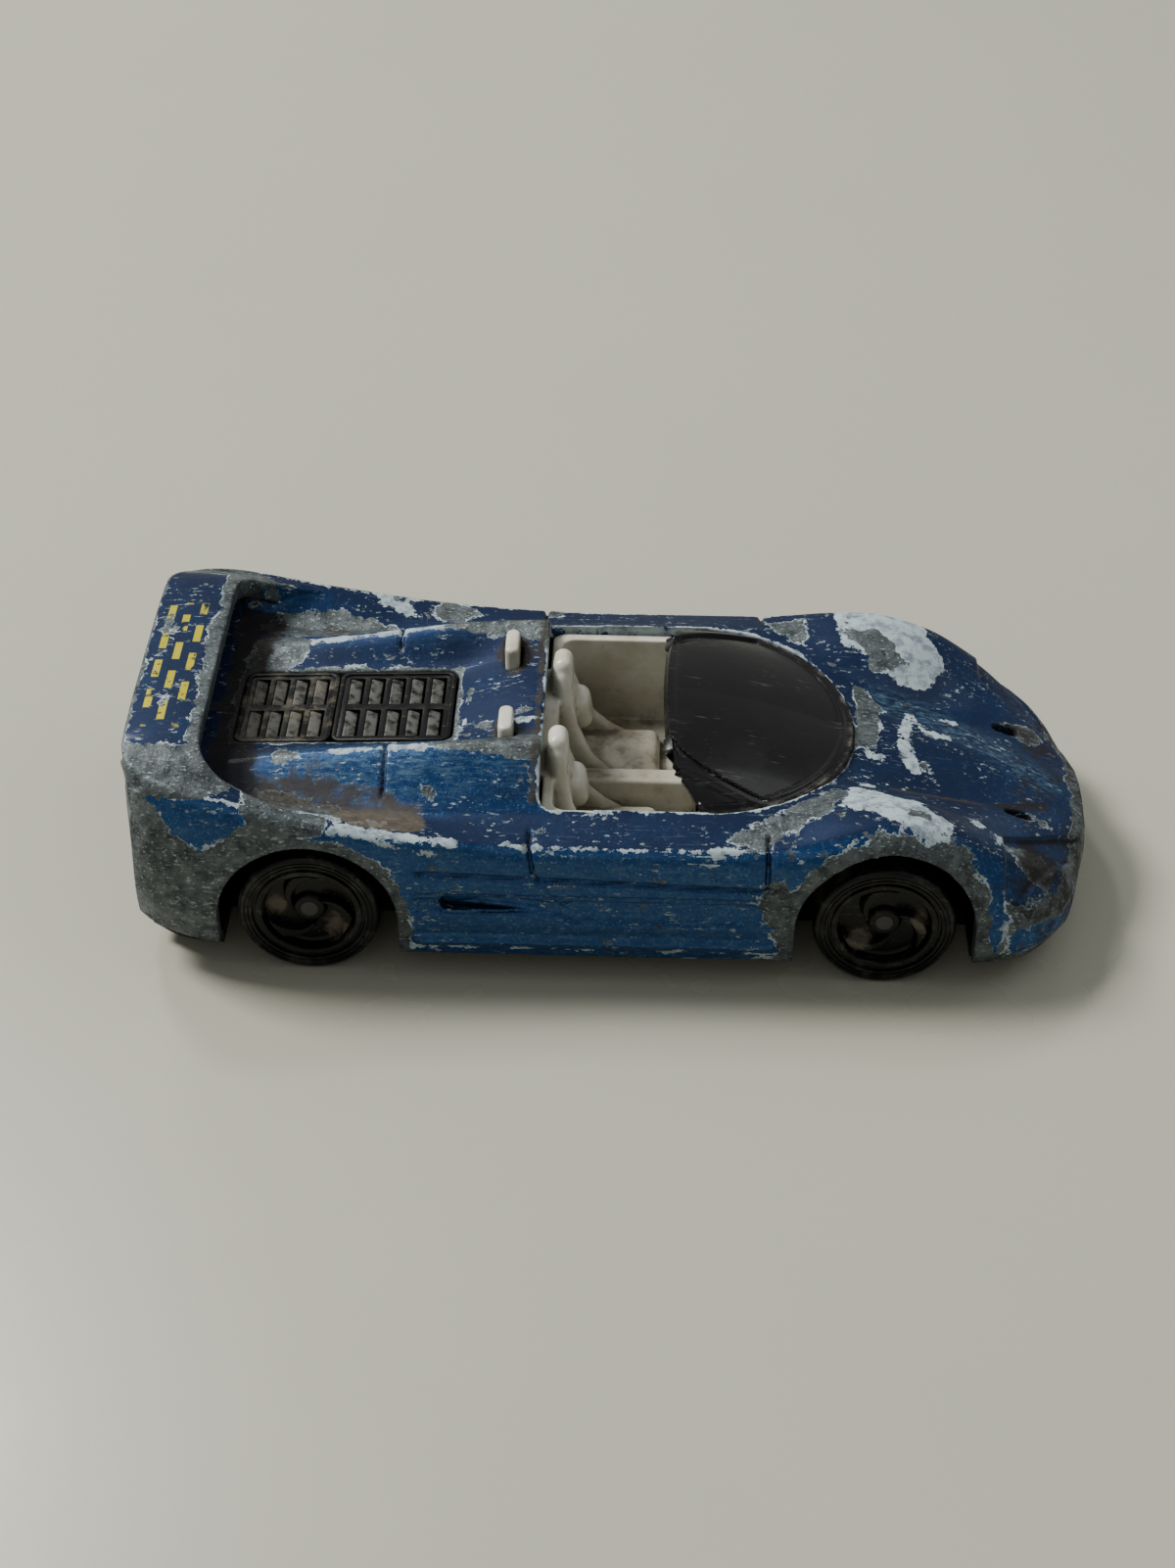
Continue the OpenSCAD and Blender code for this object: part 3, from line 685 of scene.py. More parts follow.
# --- casting
@dataclass
class Casting:
    """The painted metal body with its wing."""

    d: Datums
    lines: BodyLines = field(init=False)
    wall: float = 1.2
    wing_rise: float = 5.7
    wing_chord: float = 5.6
    wing_t: float = 1.5
    voxel: float = 0.125
    triangles: int = 190000
    per_gap: int = 6

    def __post_init__(self) -> None:
        """Sets out the character lines."""
        self.lines = BodyLines(self.d)

    # -- base shapes
    def section(self, x: Array, inset: float) -> Array:
        """Gives the half sections of the body.

        Args:
            x: Places along the body.
            inset: How far the section is drawn in, or 0 for the outside.

        Returns:
            An array of section, point and [y, z], from the lower edge to the middle.
        """
        shift = x + inset * np.clip(x / 8, -1, 1)
        raw = np.stack([np.stack(self.lines.at(line, shift), axis=1) for line in Line], axis=1)
        if inset:
            raw[:, :4, 0] -= inset
            raw[:, :, 1] -= inset
            raw[:, 3, 1] = np.minimum(raw[:, 3, 1], raw[:, 4, 1] + inset / 2)
            raw[:, 1:, 1] = np.maximum(raw[:, 1:, 1], -0.8)
            raw[:, 0, 1] = -1
            raw[:, :, 0] = np.maximum(raw[:, :, 0], 0)
            return raw
        return self.rounded(x, raw)

    def rounded(self, x: Array, raw: Array) -> Array:
        """Adds soft points between the lines, rounder on the fenders than on the doors.

        Args:
            x: Places along the body.
            raw: Section, line and [y, z].

        Returns:
            Section, point and [y, z].
        """
        d = self.d
        fender = np.maximum(1 - smoothstep(5.5, 9.5, np.abs(x - d.front_x - 2)),
                            1 - smoothstep(-13, -8, x)) * 0.75 + 0.25
        first, last = raw[:, :1] * 2 - raw[:, 1:2], raw[:, -2:-1] * [-1, 1]
        p = np.concatenate([first, raw, last], axis=1)
        out = []
        for k in range(len(Line) - 1):
            p0, p1, p2, p3 = (p[:, k + i] for i in range(4))
            soft = fender if k not in (3, 4, 5) else fender * 0.7
            for t in np.arange(self.per_gap) / self.per_gap:
                spline = 0.5 * (2 * p1 + (p2 - p0) * t + (2 * p0 - 5 * p1 + 4 * p2 - p3) * t ** 2
                                + (3 * p1 - p0 - 3 * p2 + p3) * t ** 3)
                straight = p1 + (p2 - p1) * t
                out.append(straight + (spline - straight) * soft[:, None])
        out.append(raw[:, -1])
        return np.stack(out, axis=1)

    def skin(self, name: str, x0: float, x1: float, inset: float, count: int) -> Piece:
        """Draws a closed skin through the sections.

        Args:
            name: The piece's name.
            x0: Rear end.
            x1: Front end.
            inset: How far the skin is drawn in.
            count: Number of sections.

        Returns:
            The closed skin.
        """
        x = x0 + (x1 - x0) * (1 - np.cos(np.pi * np.arange(count) / (count - 1))) / 2
        half = self.section(x, inset)
        ring = np.concatenate([half, half[:, -2::-1] * [-1, 1], half[:, :1]], axis=1)
        rows = ring.shape[1]

        def shape(u: Array, v: Array) -> Array:
            """Looks up the place of each grid point."""
            i = np.rint(u * (count - 1)).astype(int)
            j = np.rint(v * (rows - 1)).astype(int)
            return np.column_stack([x[i], ring[i, j]])
        piece = sheet_grid(name, count, rows, shape)

        def close() -> None:
            """Joins the seam and fills both ends."""
            bpy.ops.mesh.remove_doubles(threshold=MERGE)
            bpy.ops.mesh.fill_holes(sides=0)
            bpy.ops.mesh.quads_convert_to_tris()
            bpy.ops.mesh.normals_make_consistent(inside=False)
        edit(piece, close)
        return piece

    def cutters(self) -> list[Piece]:
        """Makes the solids that are taken out of the body."""
        d = self.d
        inner = d.wheel_in - 0.6
        tools = [self.skin("cavity", d.x_tail + self.wall, d.x_nose - self.wall, self.wall, 90)]
        for x in (d.rear_x, d.front_x):
            for ends in ((-inner, -inner - 10), (inner, inner + 10)):
                tools.append(rod("arch", (x, ends[0], d.axle_z), (x, ends[1], d.axle_z), d.arch_r, 96))
                tools.append(box_piece("arch_foot", (x - d.arch_r, min(ends), -3), (x + d.arch_r, max(ends), d.axle_z)))
        tools.append(prism("cockpit", cabin_outline(d, 0, d.cabin_front), d.arch_top - 5, d.arch_top + 15))
        deck = rounded_rect(d.rear_x + d.deck_back, d.rear_x + d.deck_front, d.deck_half, 0.9)
        tools.append(prism("deck_gap", deck, d.arch_top - 2, d.arch_top + 4))
        for s in (-1, 1):
            tools.append(prism("lug_slot", stadium(d.rear_x + d.lug_ahead, s * d.lug_aside, 3.3, 1.3), d.arch_top - 1,
                               d.arch_top + 5))
            scoop = d.rear_x + 10.5
            tools.append(hull_of("scoop", [
                ball("scoop", (scoop - 0.6, s * d.half_w, 6.75), (0.8, 1.3, 0.75), 8),
                ball("scoop", (scoop + 3.6, s * (d.half_w + 0.1), 6.8), (0.8, 0.9, 0.6), 8),
                ball("scoop", (scoop + 9.5, s * (d.half_w + 0.5), 6.6), (0.4, 0.5, 0.4), 8)]))
            tools.append(hull_of("nostril", [
                rod("slot", (d.front_x + x, s * 5.2, d.arch_top - 4.1), (d.front_x + x + 0.4, s * 5.2, d.arch_top + 2),
                    r, 24) for x, r in ((9.1, 0.34), (10.3, 0.55))]))
        tools.append(hull_of("nose_slot", [
            rod("slot", (d.x_nose - 0.6, y, 4.6), (d.x_nose + 0.6, y, 4.6), 0.45, 24) for y in (-2.2, 2.2)]))
        tools.append(hull_of("tail_panel", [
            rod("panel", (d.x_tail - 0.5, y, z), (d.x_tail + 0.45, y, z), 0.8, 24)
            for y in (6 - d.half_w, d.half_w - 6) for z in (6.6, d.arch_top - 1.6)]))
        return tools

    def wing_rows(self) -> tuple[Array, Array]:
        """Gives the wing's edges as [x, |y|, z], from the middle round into the fin.

        Returns:
            The front edge and the rear one.
        """
        d = self.d
        lead, top = d.x_tail + self.wing_chord, d.arch_top + self.wing_rise
        front = [[lead - 0.1, 0, 0], [lead - 0.1, 5, 0.05], [lead - 0.15, 8.5, 0.25], [lead, 10.4, 0.6],
                 [lead + 0.6, 11.6, 1.1], [lead + 1.7, 12.4, 1.85], [lead + 4.1, 13.2, 2.8], [lead + 6.6, 13.7, 3.6]]
        rear = [[d.x_tail + 0.1, 0, 0], [d.x_tail + 0.1, 5, 0.05], [d.x_tail + 0.15, 9.4, 0.25],
                [d.x_tail + 0.3, 11.2, 0.6], [d.x_tail + 1.0, 12.4, 1.0], [d.x_tail + 2.8, 13.1, 1.35],
                [d.x_tail + 6.0, 13.9, 2.1], [d.x_tail + 10, 14.2, 3.1]]
        return (np.array(front) * [1, 1, -1] + [0, 0, top], np.array(rear) * [1, 1, -1] + [0, 0, top])

    def wing(self) -> Piece:
        """Models the wing as one plate that turns down into both fins."""
        front, rear = self.wing_rows()

        def shape(u: Array, v: Array) -> Array:
            """Places the plate's points between its edges.

            Args:
                u: Share of the way from one fin to the other.
                v: Share of the way from the rear edge to the front one.

            Returns:
                Rows of millimetres.
            """
            t = np.abs(2 * u - 1)
            side = np.sign(2 * u - 1)
            knots = np.linspace(0, 1, len(front))
            lo = np.stack([self.smooth(knots, rear[:, k], t) for k in range(3)], axis=1)
            hi = np.stack([self.smooth(knots, front[:, k], t) for k in range(3)], axis=1)
            p = lo + (hi - lo) * v[:, None]
            p[:, 1] *= side
            p[:, 2] += 0.12 * np.sin(np.pi * v) - 0.12
            return p
        plate = sheet_grid("wing", 161, 25, shape)
        face_up(plate)
        apply_modifier(plate, "SOLIDIFY", thickness=self.wing_t * MM, offset=-1)
        return plate

    @staticmethod
    def smooth(knots: Array, values: Array, t: Array) -> Array:
        """Follows values through knots on a soft curve.

        Args:
            knots: Where the values hold.
            values: One value for each knot.
            t: Where to read the curve.

        Returns:
            One value for each t.
        """
        i = np.clip(np.searchsorted(knots, t, "right") - 1, 0, len(knots) - 2)
        ext = np.concatenate([[2 * values[0] - values[1]], values, [2 * values[-1] - values[-2]]])
        w = (t - knots[i]) / (knots[i + 1] - knots[i])
        p0, p1, p2, p3 = ext[i], ext[i + 1], ext[i + 2], ext[i + 3]
        return 0.5 * (2 * p1 + (p2 - p0) * w + (2 * p0 - 5 * p1 + 4 * p2 - p3) * w ** 2
                      + (3 * p1 - p0 - 3 * p2 + p3) * w ** 3)

    def additions(self) -> list[Piece]:
        """Makes the wing, its fins and the rivet posts."""
        d = self.d
        tip = d.half_w - 4.0
        parts = [self.wing()]
        for s in (-1, 1):
            for out, drop in ((0, 0), (1.3, 0.9)):
                y, low, high = s * (tip + out), d.arch_top + 1, d.arch_top + 4.2 - drop
                parts.append(hull_of("fin", [rod("fin", (x, y, low), (x, y, high), 0.9, 32)
                                             for x in (d.x_tail + 1.9, d.x_tail + self.wing_chord - 1)]))
        for x, z in ((d.front_x + 8.8, d.arch_top - 3.6), (d.x_tail + 4.2, d.arch_top)):
            parts.append(rod("post", (x, 0, 2.5), (x, 0, z), 1.5))
            parts.append(rod("neck", (x, 0, 1.7), (x, 0, 2.8), 1.0))
            parts.append(rod("rivet", (x, 0, 1.45), (x, 0, 1.9), 1.65))
        return parts

    # -- surface details
    def grooves(self, p: Array, n: Array) -> Array:
        """Works out how deep each point sinks into panel gaps and flutes.

        Args:
            p: Points in millimetres.
            n: Their normals.

        Returns:
            Depth in millimetres, negative where the surface rises.
        """
        d = self.d
        x, y, z = p[:, 0], np.abs(p[:, 1]), p[:, 2]
        side = smoothstep(0.45, 0.75, np.abs(n[:, 1])) * smoothstep(d.half_w - 2.6, d.half_w - 2.0, y)
        between = smoothstep(d.rear_x + 7.2, d.rear_x + 8, x) * (1 - smoothstep(d.front_x - 8, d.front_x - 7.2, x))

        def slot(at: Array, width: float) -> Array:
            """1 inside a slot about 0, falling softly to 0 outside it."""
            return 1 - smoothstep(width * 0.5 - 0.02, width * 0.5 + 0.14, np.abs(at))
        depth = np.zeros(len(p))
        first = 9.3 - 0.037 * (x + 13)
        depth += 0.34 * slot(z - first, 0.2) * between * side
        depth += 0.16 * slot(z - 7.45, 0.12) * between * side
        panel = smoothstep(-0.05, 0.25, 0.95 - np.hypot(np.maximum(np.abs(x - 3.5) - 6.1, 0), z - 6.35))
        depth += (0.26 * panel + 0.12 * slot(np.hypot(np.maximum(np.abs(x - 3.5) - 6.1, 0), z - 6.35) - 1.0, 0.14)
                  ) * side
        flute = smoothstep(5.8, 6.2, z) * (1 - smoothstep(7.0, 7.4, z)) * (1 - smoothstep(-4.5, -3, x))
        depth += 0.25 * flute * between * side
        depth -= 0.28 * (1 - smoothstep(0, 1, np.abs(z - 3.3) / 0.8)) * between * side
        shoulder = smoothstep(d.half_w - 2.6, d.half_w - 2.1, y)
        depth += 0.4 * slot(x - d.cabin_rear + 0.55 - 0.12 * (12 - z), 0.14) * shoulder * smoothstep(9.1, 9.6, z) * (
            z < d.arch_top + 1.5)
        depth += 0.14 * slot(x + 4.9 + 0.62 * (z - 8.6), 0.08) * shoulder * smoothstep(6.2, 6.6, z) * (z < 9.5)
        depth += 0.4 * slot(x - 10.7, 0.16) * shoulder * smoothstep(8.2, 8.8, z) * (z < d.arch_top + 1.5)
        on_hump = smoothstep(5.6, 6.2, y) * (1 - smoothstep(10.0, 10.8, y)) * smoothstep(0.3, 0.6, n[:, 2])
        depth += 0.3 * slot(x + 16.2, 0.16) * on_hump * (z > d.arch_top)
        lamp = np.maximum.reduce([(x - 31.2) * 0.8 + (y - 9.4) * 0.6 - 0.3, 27.4 - x, 0.75 * (28.6 - x) + 8.9 - y])
        depth += 0.28 * smoothstep(0.25, -0.1, lamp) * smoothstep(0.3, 0.6, n[:, 2]) * (z > 5.5)
        return depth

    def build(self) -> Piece:
        """Models the casting.

        Returns:
            The finished body.
        """
        d = self.d
        body = self.skin("casting", d.x_tail, d.x_nose, 0, 150)
        cut(body, self.cutters())
        body = join("casting", [body, *self.additions()])
        melt(body, self.voxel, 5)
        p, n = points_of(body), normals_of(body)
        set_points(body, p - n * self.grooves(p, n)[:, None])
        apply_modifier(body, "SMOOTH", factor=0.4, iterations=1)
        p = points_of(body)
        notch = 0.5 + 0.5 * np.exp(-((p[:, 2] - 12.8) / 1.3) ** 2)
        notch *= smoothstep(10.0, 12.6, np.abs(p[:, 1])) * (1 - smoothstep(14.8, 16.2, p[:, 2]))
        notch = np.maximum(notch, 0.85 * smoothstep(10.6, 13.2, np.abs(p[:, 1])))
        p[:, 0] = np.maximum(p[:, 0], d.x_tail + notch)
        half = min(d.half_w, CAD_BOX[1][1] / MM, -CAD_BOX[0][1] / MM)
        set_points(body, np.clip(p, [d.x_tail, -half, 1.4], [d.x_nose, half, CAD_BOX[1][2] / MM]))
        thin(body, self.triangles)
        self.dress(body)
        return body

    # -- wear and colour
    def dress(self, body: Piece) -> None:
        """Stores where the paint is worn or primed, where dirt and painted shade lie, and where painted sheen lightens
        it.
        """
        wing_front = self.d.x_tail + self.wing_chord
        wear = Wear(self.d, self.lines, wing_front, points_of(body), normals_of(body), bend_of(body))
        for name, values in wear.layers().items():
            paint(body, name, values)


@dataclass
class Wear:
    """Where the casting's paint is worn or primed, where dirt and painted shade lie and where painted sheen lightens
    it, from its points in millimetres.
    """

    d: Datums
    lines: BodyLines
    wing_front: float
    p: Array
    n: Array
    bend: Array

    def layers(self) -> dict[str, Array]:
        """Gives one share from 0 to 1 for each point, by the names that the enamel reads."""
        return {"wear": 0.5 + self.bare() / SPAN, "primer": 0.5 + self.primed() / SPAN, "grime": self.grime_and_shade(),
                "bright": self.painted_sheen_share(), "haze": self.hazy(), "soot_and_shade": self.soot_and_shade_share()}

    def bare(self) -> Array:
        """Works out how far each point lies inside bare metal.

        Returns:
            Signed distances in millimetres.
        """
        d, p, area = self.d, self.p, Area(self.p)
        x, y, z = p.T
        across, up = np.abs(y), self.n[:, 2]
        near, outer = y < 0, across > d.half_w - 3.2
        wing = z > d.arch_top + 3.4
        low_deck = (z > 11) & (z < 14.4)
        for middle, lip in ((d.rear_x, 1.15), (d.front_x, 1.35)):
            r = np.hypot(x - middle, z - d.axle_z)
            gap = np.where(z > d.axle_z, r - d.arch_r, np.abs(x - middle) - d.arch_r)
            area.add(lip * np.where(near, 1.0, 0.8) - gap, outer)
        area.dot((22.3, 10.2), (2.6, 1.9), near & outer, SIDE)
        area.dot((11.6, 7.2), (1.7, 2.2), near & outer, SIDE)
        tail = np.minimum(-22.4 - x, across - 12.3)
        area.add(np.where(near, tail, np.minimum(-25.5 - x, y - 12.3)))
        area.add(np.minimum(-19.5 - x, across - 13.4), near & (z > 12.3))
        island = [(-31.7, 14.6), (-26.1, 15.1), (-25.2, 13.2), (-28.2, 10.9), (-30.6, 13.0)]
        area.spare(region(p, island, SIDE), across > 12.6)
        area.add(-32.4 - x, self.n[:, 0] < -0.6)
        area.add(x - self.wing_front + 1.15, wing)
        area.add(d.x_tail + 0.5 - x, wing)
        area.add(np.where(near, -10.2 - y, y - 11.8), wing)
        for centre, radii in (((-31.6, -6.4), (0.5, 1.6)), ((-33.0, 3.4), (0.5, 1.8)), ((-31.0, 9.4), (0.4, 1.0))):
            area.dot(centre, radii, wing)
        area.add(3.2 - z + 0.05 * (x - 23), x > 23)
        nose = [self.lines.path(Line.FLANK, 25, d.x_nose, side) for side in (-1, 1)]
        plan = near_path(p, nose[0] + nose[1][::-1], PLAN)
        area.add(np.minimum(1.15 - plan, (x - 27) * 0.5), (x > 27) & (z < 9))
        area.spare(spot(p, (30.2, 4.0), (2.5, 0.75), SIDE), (x > 27) & (z < 5.2))
        for corners in ([(16.9, 7.4), (19.2, 4.6), (19.5, 1.2), (18.5, -1.9), (16.9, -2.2), (17.4, 2.5)],
                        [(7.2, -14.2), (12.1, -10.3), (16.0, -7.6), (16.6, -9.0), (14.4, -11.8), (10.6, -14.6)],
                        [(10.6, 13.4), (14.2, 13.4), (14.0, 9.4), (12.4, 10.6)],
                        [(16.4, 11.2), (19.5, 11.2), (22.3, 8.2), (19.0, 7.6)]):
            area.add(region(p, corners), (z > 8.5) & (up > 0.1))
        rump = [(-28, -9.8), (-23, -9.9), (-19.5, -11.0), (-17, -12.4), (-19.5, -13.4), (-26, -13.0)]
        area.add(region(p, rump), near & (z > 11) & (up > 0.2))
        area.dot((21.0, -11.5), (1.3, 0.7), up > 0)
        area.dot((29.4, -10.6), (1.7, 1.5))
        area.dot((-22.0, 10.6), (6.0, 2.1), low_deck)
        area.dot((-25.0, 6.6), (2.2, 2.2), low_deck)
        x0, x1, half = d.rear_x + d.deck_back, d.rear_x + d.deck_front, d.deck_half
        on_top = z > d.arch_top
        area.line([[x0, -half], [x1, -half], [x1, half], [x0, half], [x0, -half]], 0.45, on_top)
        area.line([[-11.2, -4.2], [-10.6, 4.4]], 0.2, on_top)
        for cx, cy, r in ((-9.6, -3.2, 0.5), (-9.4, 6.6, 0.45), (-6.6, -2.2, 0.4), (-23.6, -7.4, 0.8),
                          (22.1, -2.6, 0.65), (-26.6, 5.2, 1.0), (-13, -10.4, 0.5), (30.1, -3.0, 0.25),
                          (30.4, 5.2, 1.0), (30.8, -5.6, 0.8), (-12.6, 13.6, 1.4), (-5, 14, 0.8)):
            area.dot((cx, cy), (r * 1.3, r))
        return area.depth + np.clip(self.bend * 0.5, -0.6, 0.8) - 0.2

    def primed(self) -> Array:
        """Works out how far each point lies inside pale primer.

        Returns:
            Signed distances in millimetres.
        """
        d, p, area = self.d, self.p, Area(self.p)
        x, y, z = p.T
        across, up = np.abs(y), self.n[:, 2] > 0.1
        hood = up & (x > 17.5)
        for corners in ([(15.3, -10.8), (16.6, -7.2), (18.6, -7.6), (20.8, -9.2), (23.6, -11.6), (23.0, -14.6),
                         (19.1, -12.6)],
                        [(16.0, 14.6), (21.9, 14.8), (24.6, 9.4), (23.4, 6.9), (21.4, 6.6), (18.8, 8.6),
                         (16.6, 9.2)]):
            area.add(region(p, corners), up)
        for line, start, end, side, half in (
                (Line.RIDGE, -16.5, -11, -1, 0.4), (Line.RIDGE, -9, 3, -1, 0.16), (Line.RIDGE, 4, 9.8, -1, 0.3),
                (Line.RIDGE, -29, -20, -1, 0.22), (Line.RIDGE, -29, 12, 1, 0.15), (Line.CREST, -20, -9, -1, 0.34),
                (Line.CREST, -25.5, -10, 1, 0.34)):
            area.line(self.lines.path(line, start, end, side), half, axes=SPACE)
        area.line([[-21.4, 12.6], [-18, 12.6], [-14.9, 11.5], [-12, 11.0]], 0.2, across > d.half_w - 3, SIDE)
        area.line([[21.5, 3.4], [21.0, 0.6], [21.0, -1.9], [21.6, -3.2]], 0.5, hood)
        area.line([[21.5, 3.4], [22.4, 1.9], [23.2, 1.2], [24.2, 1.5]], 0.4, hood)
        area.dot((18.2, -2.4), (1.1, 0.6), hood)
        for cx, cy, r in ((23.4, 8.2, 0.3), (22.0, 5.4, 0.25), (24.6, 4.0, 0.4), (19.3, -5.6, 0.3), (17.8, -6.4, 0.5),
                          (25.4, -9.6, 0.7), (27.4, -10.8, 0.6), (-6.4, -3.4, 0.35), (29.5, -1.0, 0.25)):
            area.dot((cx, cy), (r * 1.4, r), up)
        area.dot((6.0, 11.0), (0.9, 0.5), y < 0, SIDE)
        cockpit = cabin_outline(d, 0, d.cabin_front)
        area.line([*cockpit, cockpit[0]], 0.1, z > d.arch_top - 0.4)
        area.add(0.12 - np.abs(z - 2.7), across > d.half_w - 2)
        return area.depth + np.clip(self.bend * 0.3, -0.5, 0.5) - 0.1

    def grime_and_shade(self) -> Array:
        """Works out how much dirt, and painted shade, each point carries.

        Returns:
            Shares from 0 to 1.
        """
        d, p, bend = self.d, self.p, self.bend
        x, y, z = p.T
        across, high = np.abs(y), z > 11
        # Hollows darken, as settled dirt and as painted shade.
        hollow = np.clip(-bend * 0.5, 0, 1)
        shoulder = np.clip(0.42 + spot(p, (-16.0, -13.0), (2.8, 1.2)) / 1.2, 0, 0.62) * (y < 0)
        # Painted shade, with dirt, along the wing's front edge.
        dirt_and_shade_under_wing = (1 - smoothstep(0.6, 2.4, np.abs(x + 27.4))) * (across < 12) * high * (z < 15) * 0.9
        ring = np.hypot(x - d.rear_x - d.lug_ahead, (across - d.lug_aside) * 0.5) - 0.7
        lugs = np.clip(1.1 - np.abs(ring), 0, 1) * 0.6 * (z > d.arch_top)
        # Painted shade inside the shell, below the cockpit rim.
        shade_inside_shell = 0.4 * (1 - smoothstep(-0.3, 0.3, np.where(across < d.half_w - 1.6, z - 8.5, 9)))
        rear_edge = [[d.cabin_rear - 0.4, -11], [d.cabin_rear - 0.4, 11]]
        edge = np.clip(0.6 - 0.8 * near_path(p, rear_edge, PLAN), 0, 0.7)
        crease = np.clip(0.7 - near_path(p, self.lines.path(Line.CREST, 19.5, 31, -1), SPACE) * 1.6, 0, 0.7)
        far_deck = np.clip(0.3 + spot(p, (-22, 9.2), (6.5, 1.6)) / 3, 0, 0.34) * high
        nose = np.clip(spot(p, (29.5, -10.2), (2.4, 1.8)) / 2, 0, 0.3)
        inner = [(-28, -6.2), (-20.5, -6.8), (-19, -9.6), (-14, -11.4), (-26, -11.4)]
        outer = [(-26, -9.2), (-19, -9.8), (-12, -11.6), (-9, -13.2), (-18, -13.9), (-25, -12.2)]
        rump = (np.clip(0.5 + region(p, inner) / 2, 0, 0.32) + np.clip(0.3 + region(p, outer) / 3, 0, 0.2)) * high
        return np.clip(hollow + shoulder + rump + dirt_and_shade_under_wing + lugs + shade_inside_shell + edge + crease + far_deck + nose, 0, 1)

    def soot_and_shade_share(self) -> Array:
        """Works out how dark the dirt is, with painted shade making it darker along the wing's front edge, inside the
        shell and in hollows.

        Returns:
            Shares from 0 to 1.
        """
        p = self.p
        x, y, z = p.T
        across = np.abs(y)
        # Painted shade: the dirt is darker along the wing's front edge, inside the shell and in hollows.
        dirt_and_shade_under_wing = (1 - smoothstep(1.0, 2.6, np.abs(x + 27.2))) * (across < 12.5) * (z < 14.6)
        inner = np.where(across < self.d.half_w - 1.6, 1 - smoothstep(8.2, 9.0, z), 0)
        tan = np.clip(0.8 + spot(p, (-16.0, -13.0), (3.2, 1.6)), 0, 1) * (y < 0)
        return np.clip(0.62 + dirt_and_shade_under_wing + inner + np.clip(-self.bend, 0, 0.4) - 0.7 * tan, 0, 1)

    def hazy(self) -> Array:
        """Works out how far a pale film covers the paint.

        Returns:
            Shares from 0 to 1.
        """
        p, n = self.p, self.n
        smear = 1.6 - near_path(p, [[19.7, 4.6], [23.4, 3.9], [26.3, 2.2], [31, -0.4]], PLAN) / 1.3
        flank = smoothstep(0.5, 0.9, np.abs(n[:, 1])) * 0.3
        hump = np.clip(0.5 + spot(p, (-16, -8.6), (9.0, 2.0)) / 2, 0, 1) * 0.9
        return np.clip(np.maximum.reduce([smear * (n[:, 2] > 0.2), flank, hump]), 0, 1)

    def painted_sheen_share(self) -> Array:
        """Works out where the blue is lightened and made to sparkle as painted sheen: on the hump, the side-facing
        flanks and towards the nose.

        Returns:
            Shares from 0 to 1.
        """
        p = self.p
        side = smoothstep(0.35, 0.8, np.abs(self.n[:, 1])) * (np.abs(p[:, 1]) > 11)
        hump = np.clip(0.7 + spot(p, (-16, -8.9), (9.5, 2.4)) / 2, 0, 1) * 0.75
        hump = np.maximum(hump, np.clip(0.5 + spot(p, (-16, 8.9), (9.5, 2.2)) / 2, 0, 1) * 0.5)
        nose = smoothstep(22, 30, p[:, 0]) * 0.25
        return np.clip(np.maximum(side, hump) + nose, 0, 1)


def stadium(x: float, y: float, length: float, width: float, n: int = 12) -> list[list[float]]:
    """Outline of a bar with round ends that runs along Y."""
    return [p for s, q in ((1, 0), (-1, 180)) for p in arc(x, y + s * (length - width) / 2, width / 2, q, 180, n)]


def cabin_outline(d: Datums, gap: float, x_end: float, n: int = 72) -> list[list[float]]:
    """Outline of the cockpit opening: a rounded rectangle that runs into half an ellipse.

    Args:
        d: The shared measures.
        gap: How far the outline is drawn in.
        x_end: Where the outline is cut off at the front.
        n: Points on the half ellipse.

    Returns:
        Corners in order, each inside the cut.
    """
    b, a = d.cabin_half - gap, d.cabin_front - gap - d.screen_side
    rear = d.cabin_rear + gap
    out = arc(rear + 1, b - 1, 1, 90, 90, 8) + arc(rear + 1, 1 - b, 1, 180, 90, 8)
    for i in range(n + 1):
        w = math.radians(-90 + 180 * i / n)
        x = d.screen_side + a * math.cos(w)
        if x <= x_end + 1e-9:
            out.append([x, b * math.sin(w)])
        elif out[-1][0] < x_end - 1e-9:
            low = b * math.sqrt(max(0.0, 1 - ((x_end - d.screen_side) / a) ** 2))
            out.extend([[x_end, -low], [x_end, low]])
    return out


